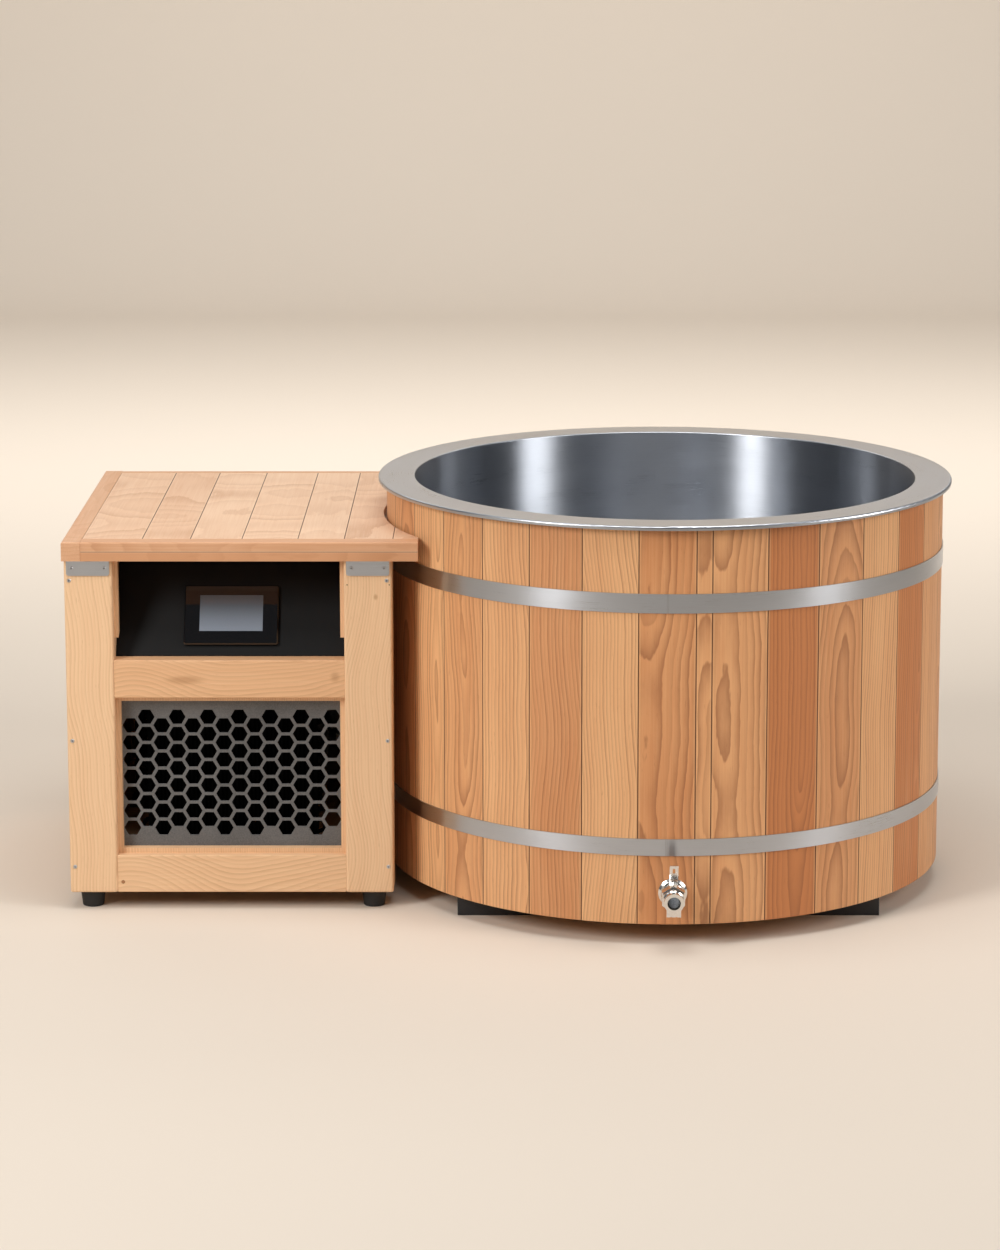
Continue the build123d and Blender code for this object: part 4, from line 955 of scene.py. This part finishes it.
class PLUNGETUB_OT_details(bpy.types.Operator):
    """Add painted shade for the screws' cross recesses and the pilot holes, the hoops' weld lines and
    the dowel plug
    """

    bl_idname = "plunge_tub.details"
    bl_label = "Details"

    def execute(self, context):
        # Painted shade: near-black crosses stand just proud of the screw heads in place of the shade
        # inside their cross recesses
        dark = plain_material("screw recess shade", (0.02, 0.02, 0.02), Roughness=0.5)
        post_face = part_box("front_left_post")[0].y
        plate_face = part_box("corner_plates")[0].y
        screws = [(x, plate_screws_z, plate_face - screw_head) for x in plate_screws_x]
        screws += [(x, z, post_face - screw_head) for x in post_screws_x for z in post_screws_z]
        side = recess_arm / 2 + recess_width / 4
        side_size = (recess_arm - recess_width / 2, 2 * recess_proud, recess_width)
        for index, (x, z, y) in enumerate(screws):
            add_blocks(f"screw_recess_shade_{index + 1}", dark, (
                ((x, y, z), (recess_width, 2 * recess_proud, 2 * recess_arm)),
                ((x - side, y, z), side_size),
                ((x + side, y, z), side_size),
            ))
        weld = plain_material("weld line", (0.40, 0.40, 0.41), Metallic=1.0, Roughness=0.45)
        for name in ("upper_hoop", "lower_hoop"):
            low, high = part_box(name)
            size = (weld_width, weld_depth, high.z - low.z)
            middle_z = (low.z + high.z) / 2
            add_blocks(f"{name}_weld", weld, tuple(
                ((x, low.y - weld_proud, middle_z), size) for x in welds_x
            ))
        # Painted shade: dark discs on the post's face stand in for the shade inside the pilot holes
        hole = plain_material("pilot hole shade", (0.03, 0.012, 0.006), Roughness=0.9)
        for index, x in enumerate(pilot_holes_x):
            add_disc(f"pilot_hole_{index + 1}", hole, (x, post_face, pilot_holes_z),
                     pilot_hole_radius, pilot_hole_depth)
        plug = plain_material("dowel end", (0.36, 0.16, 0.065), Roughness=0.7)
        rail_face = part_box("front_bottom_rail")[0].y
        add_disc("dowel_plug", plug, (plug_x, rail_face, plug_z),
                 plug_radius, plug_depth)
        return {"FINISHED"}


class PLUNGETUB_PT_panel(bpy.types.Panel):
    """Buttons that dress the tub, piece by piece"""

    bl_label = "Plunge tub"
    bl_space_type = "VIEW_3D"
    bl_region_type = "UI"
    bl_category = "Plunge tub"

    def draw(self, context):
        for operator in steps:
            self.layout.operator(operator.bl_idname)


steps = (
    PLUNGETUB_OT_stage,
    PLUNGETUB_OT_staves,
    PLUNGETUB_OT_cabinet,
    PLUNGETUB_OT_lid,
    PLUNGETUB_OT_steelwork,
    PLUNGETUB_OT_fittings,
    PLUNGETUB_OT_details,
)
settings_groups = (PLUNGETUB_PG_wood, PLUNGETUB_PG_steel, PLUNGETUB_PG_studio)


def register():
    """Make the settings, operators and panel known."""
    for cls in settings_groups + steps + (PLUNGETUB_PT_panel,):
        bpy.utils.register_class(cls)
    bpy.types.Scene.plunge_tub_wood = PointerProperty(type=PLUNGETUB_PG_wood)
    bpy.types.Scene.plunge_tub_steel = PointerProperty(type=PLUNGETUB_PG_steel)
    bpy.types.Scene.plunge_tub_studio = PointerProperty(type=PLUNGETUB_PG_studio)


def unregister():
    """Take the settings, operators and panel away again."""
    for name in ("plunge_tub_wood", "plunge_tub_steel", "plunge_tub_studio"):
        delattr(bpy.types.Scene, name)
    for cls in reversed(settings_groups + steps + (PLUNGETUB_PT_panel,)):
        bpy.utils.unregister_class(cls)


def main():
    """Dress the tub in order."""
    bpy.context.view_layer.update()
    register()
    for operator in steps:
        category, name = operator.bl_idname.split(".")
        getattr(getattr(bpy.ops, category), name)()


if __name__ == "__main__":
    main()
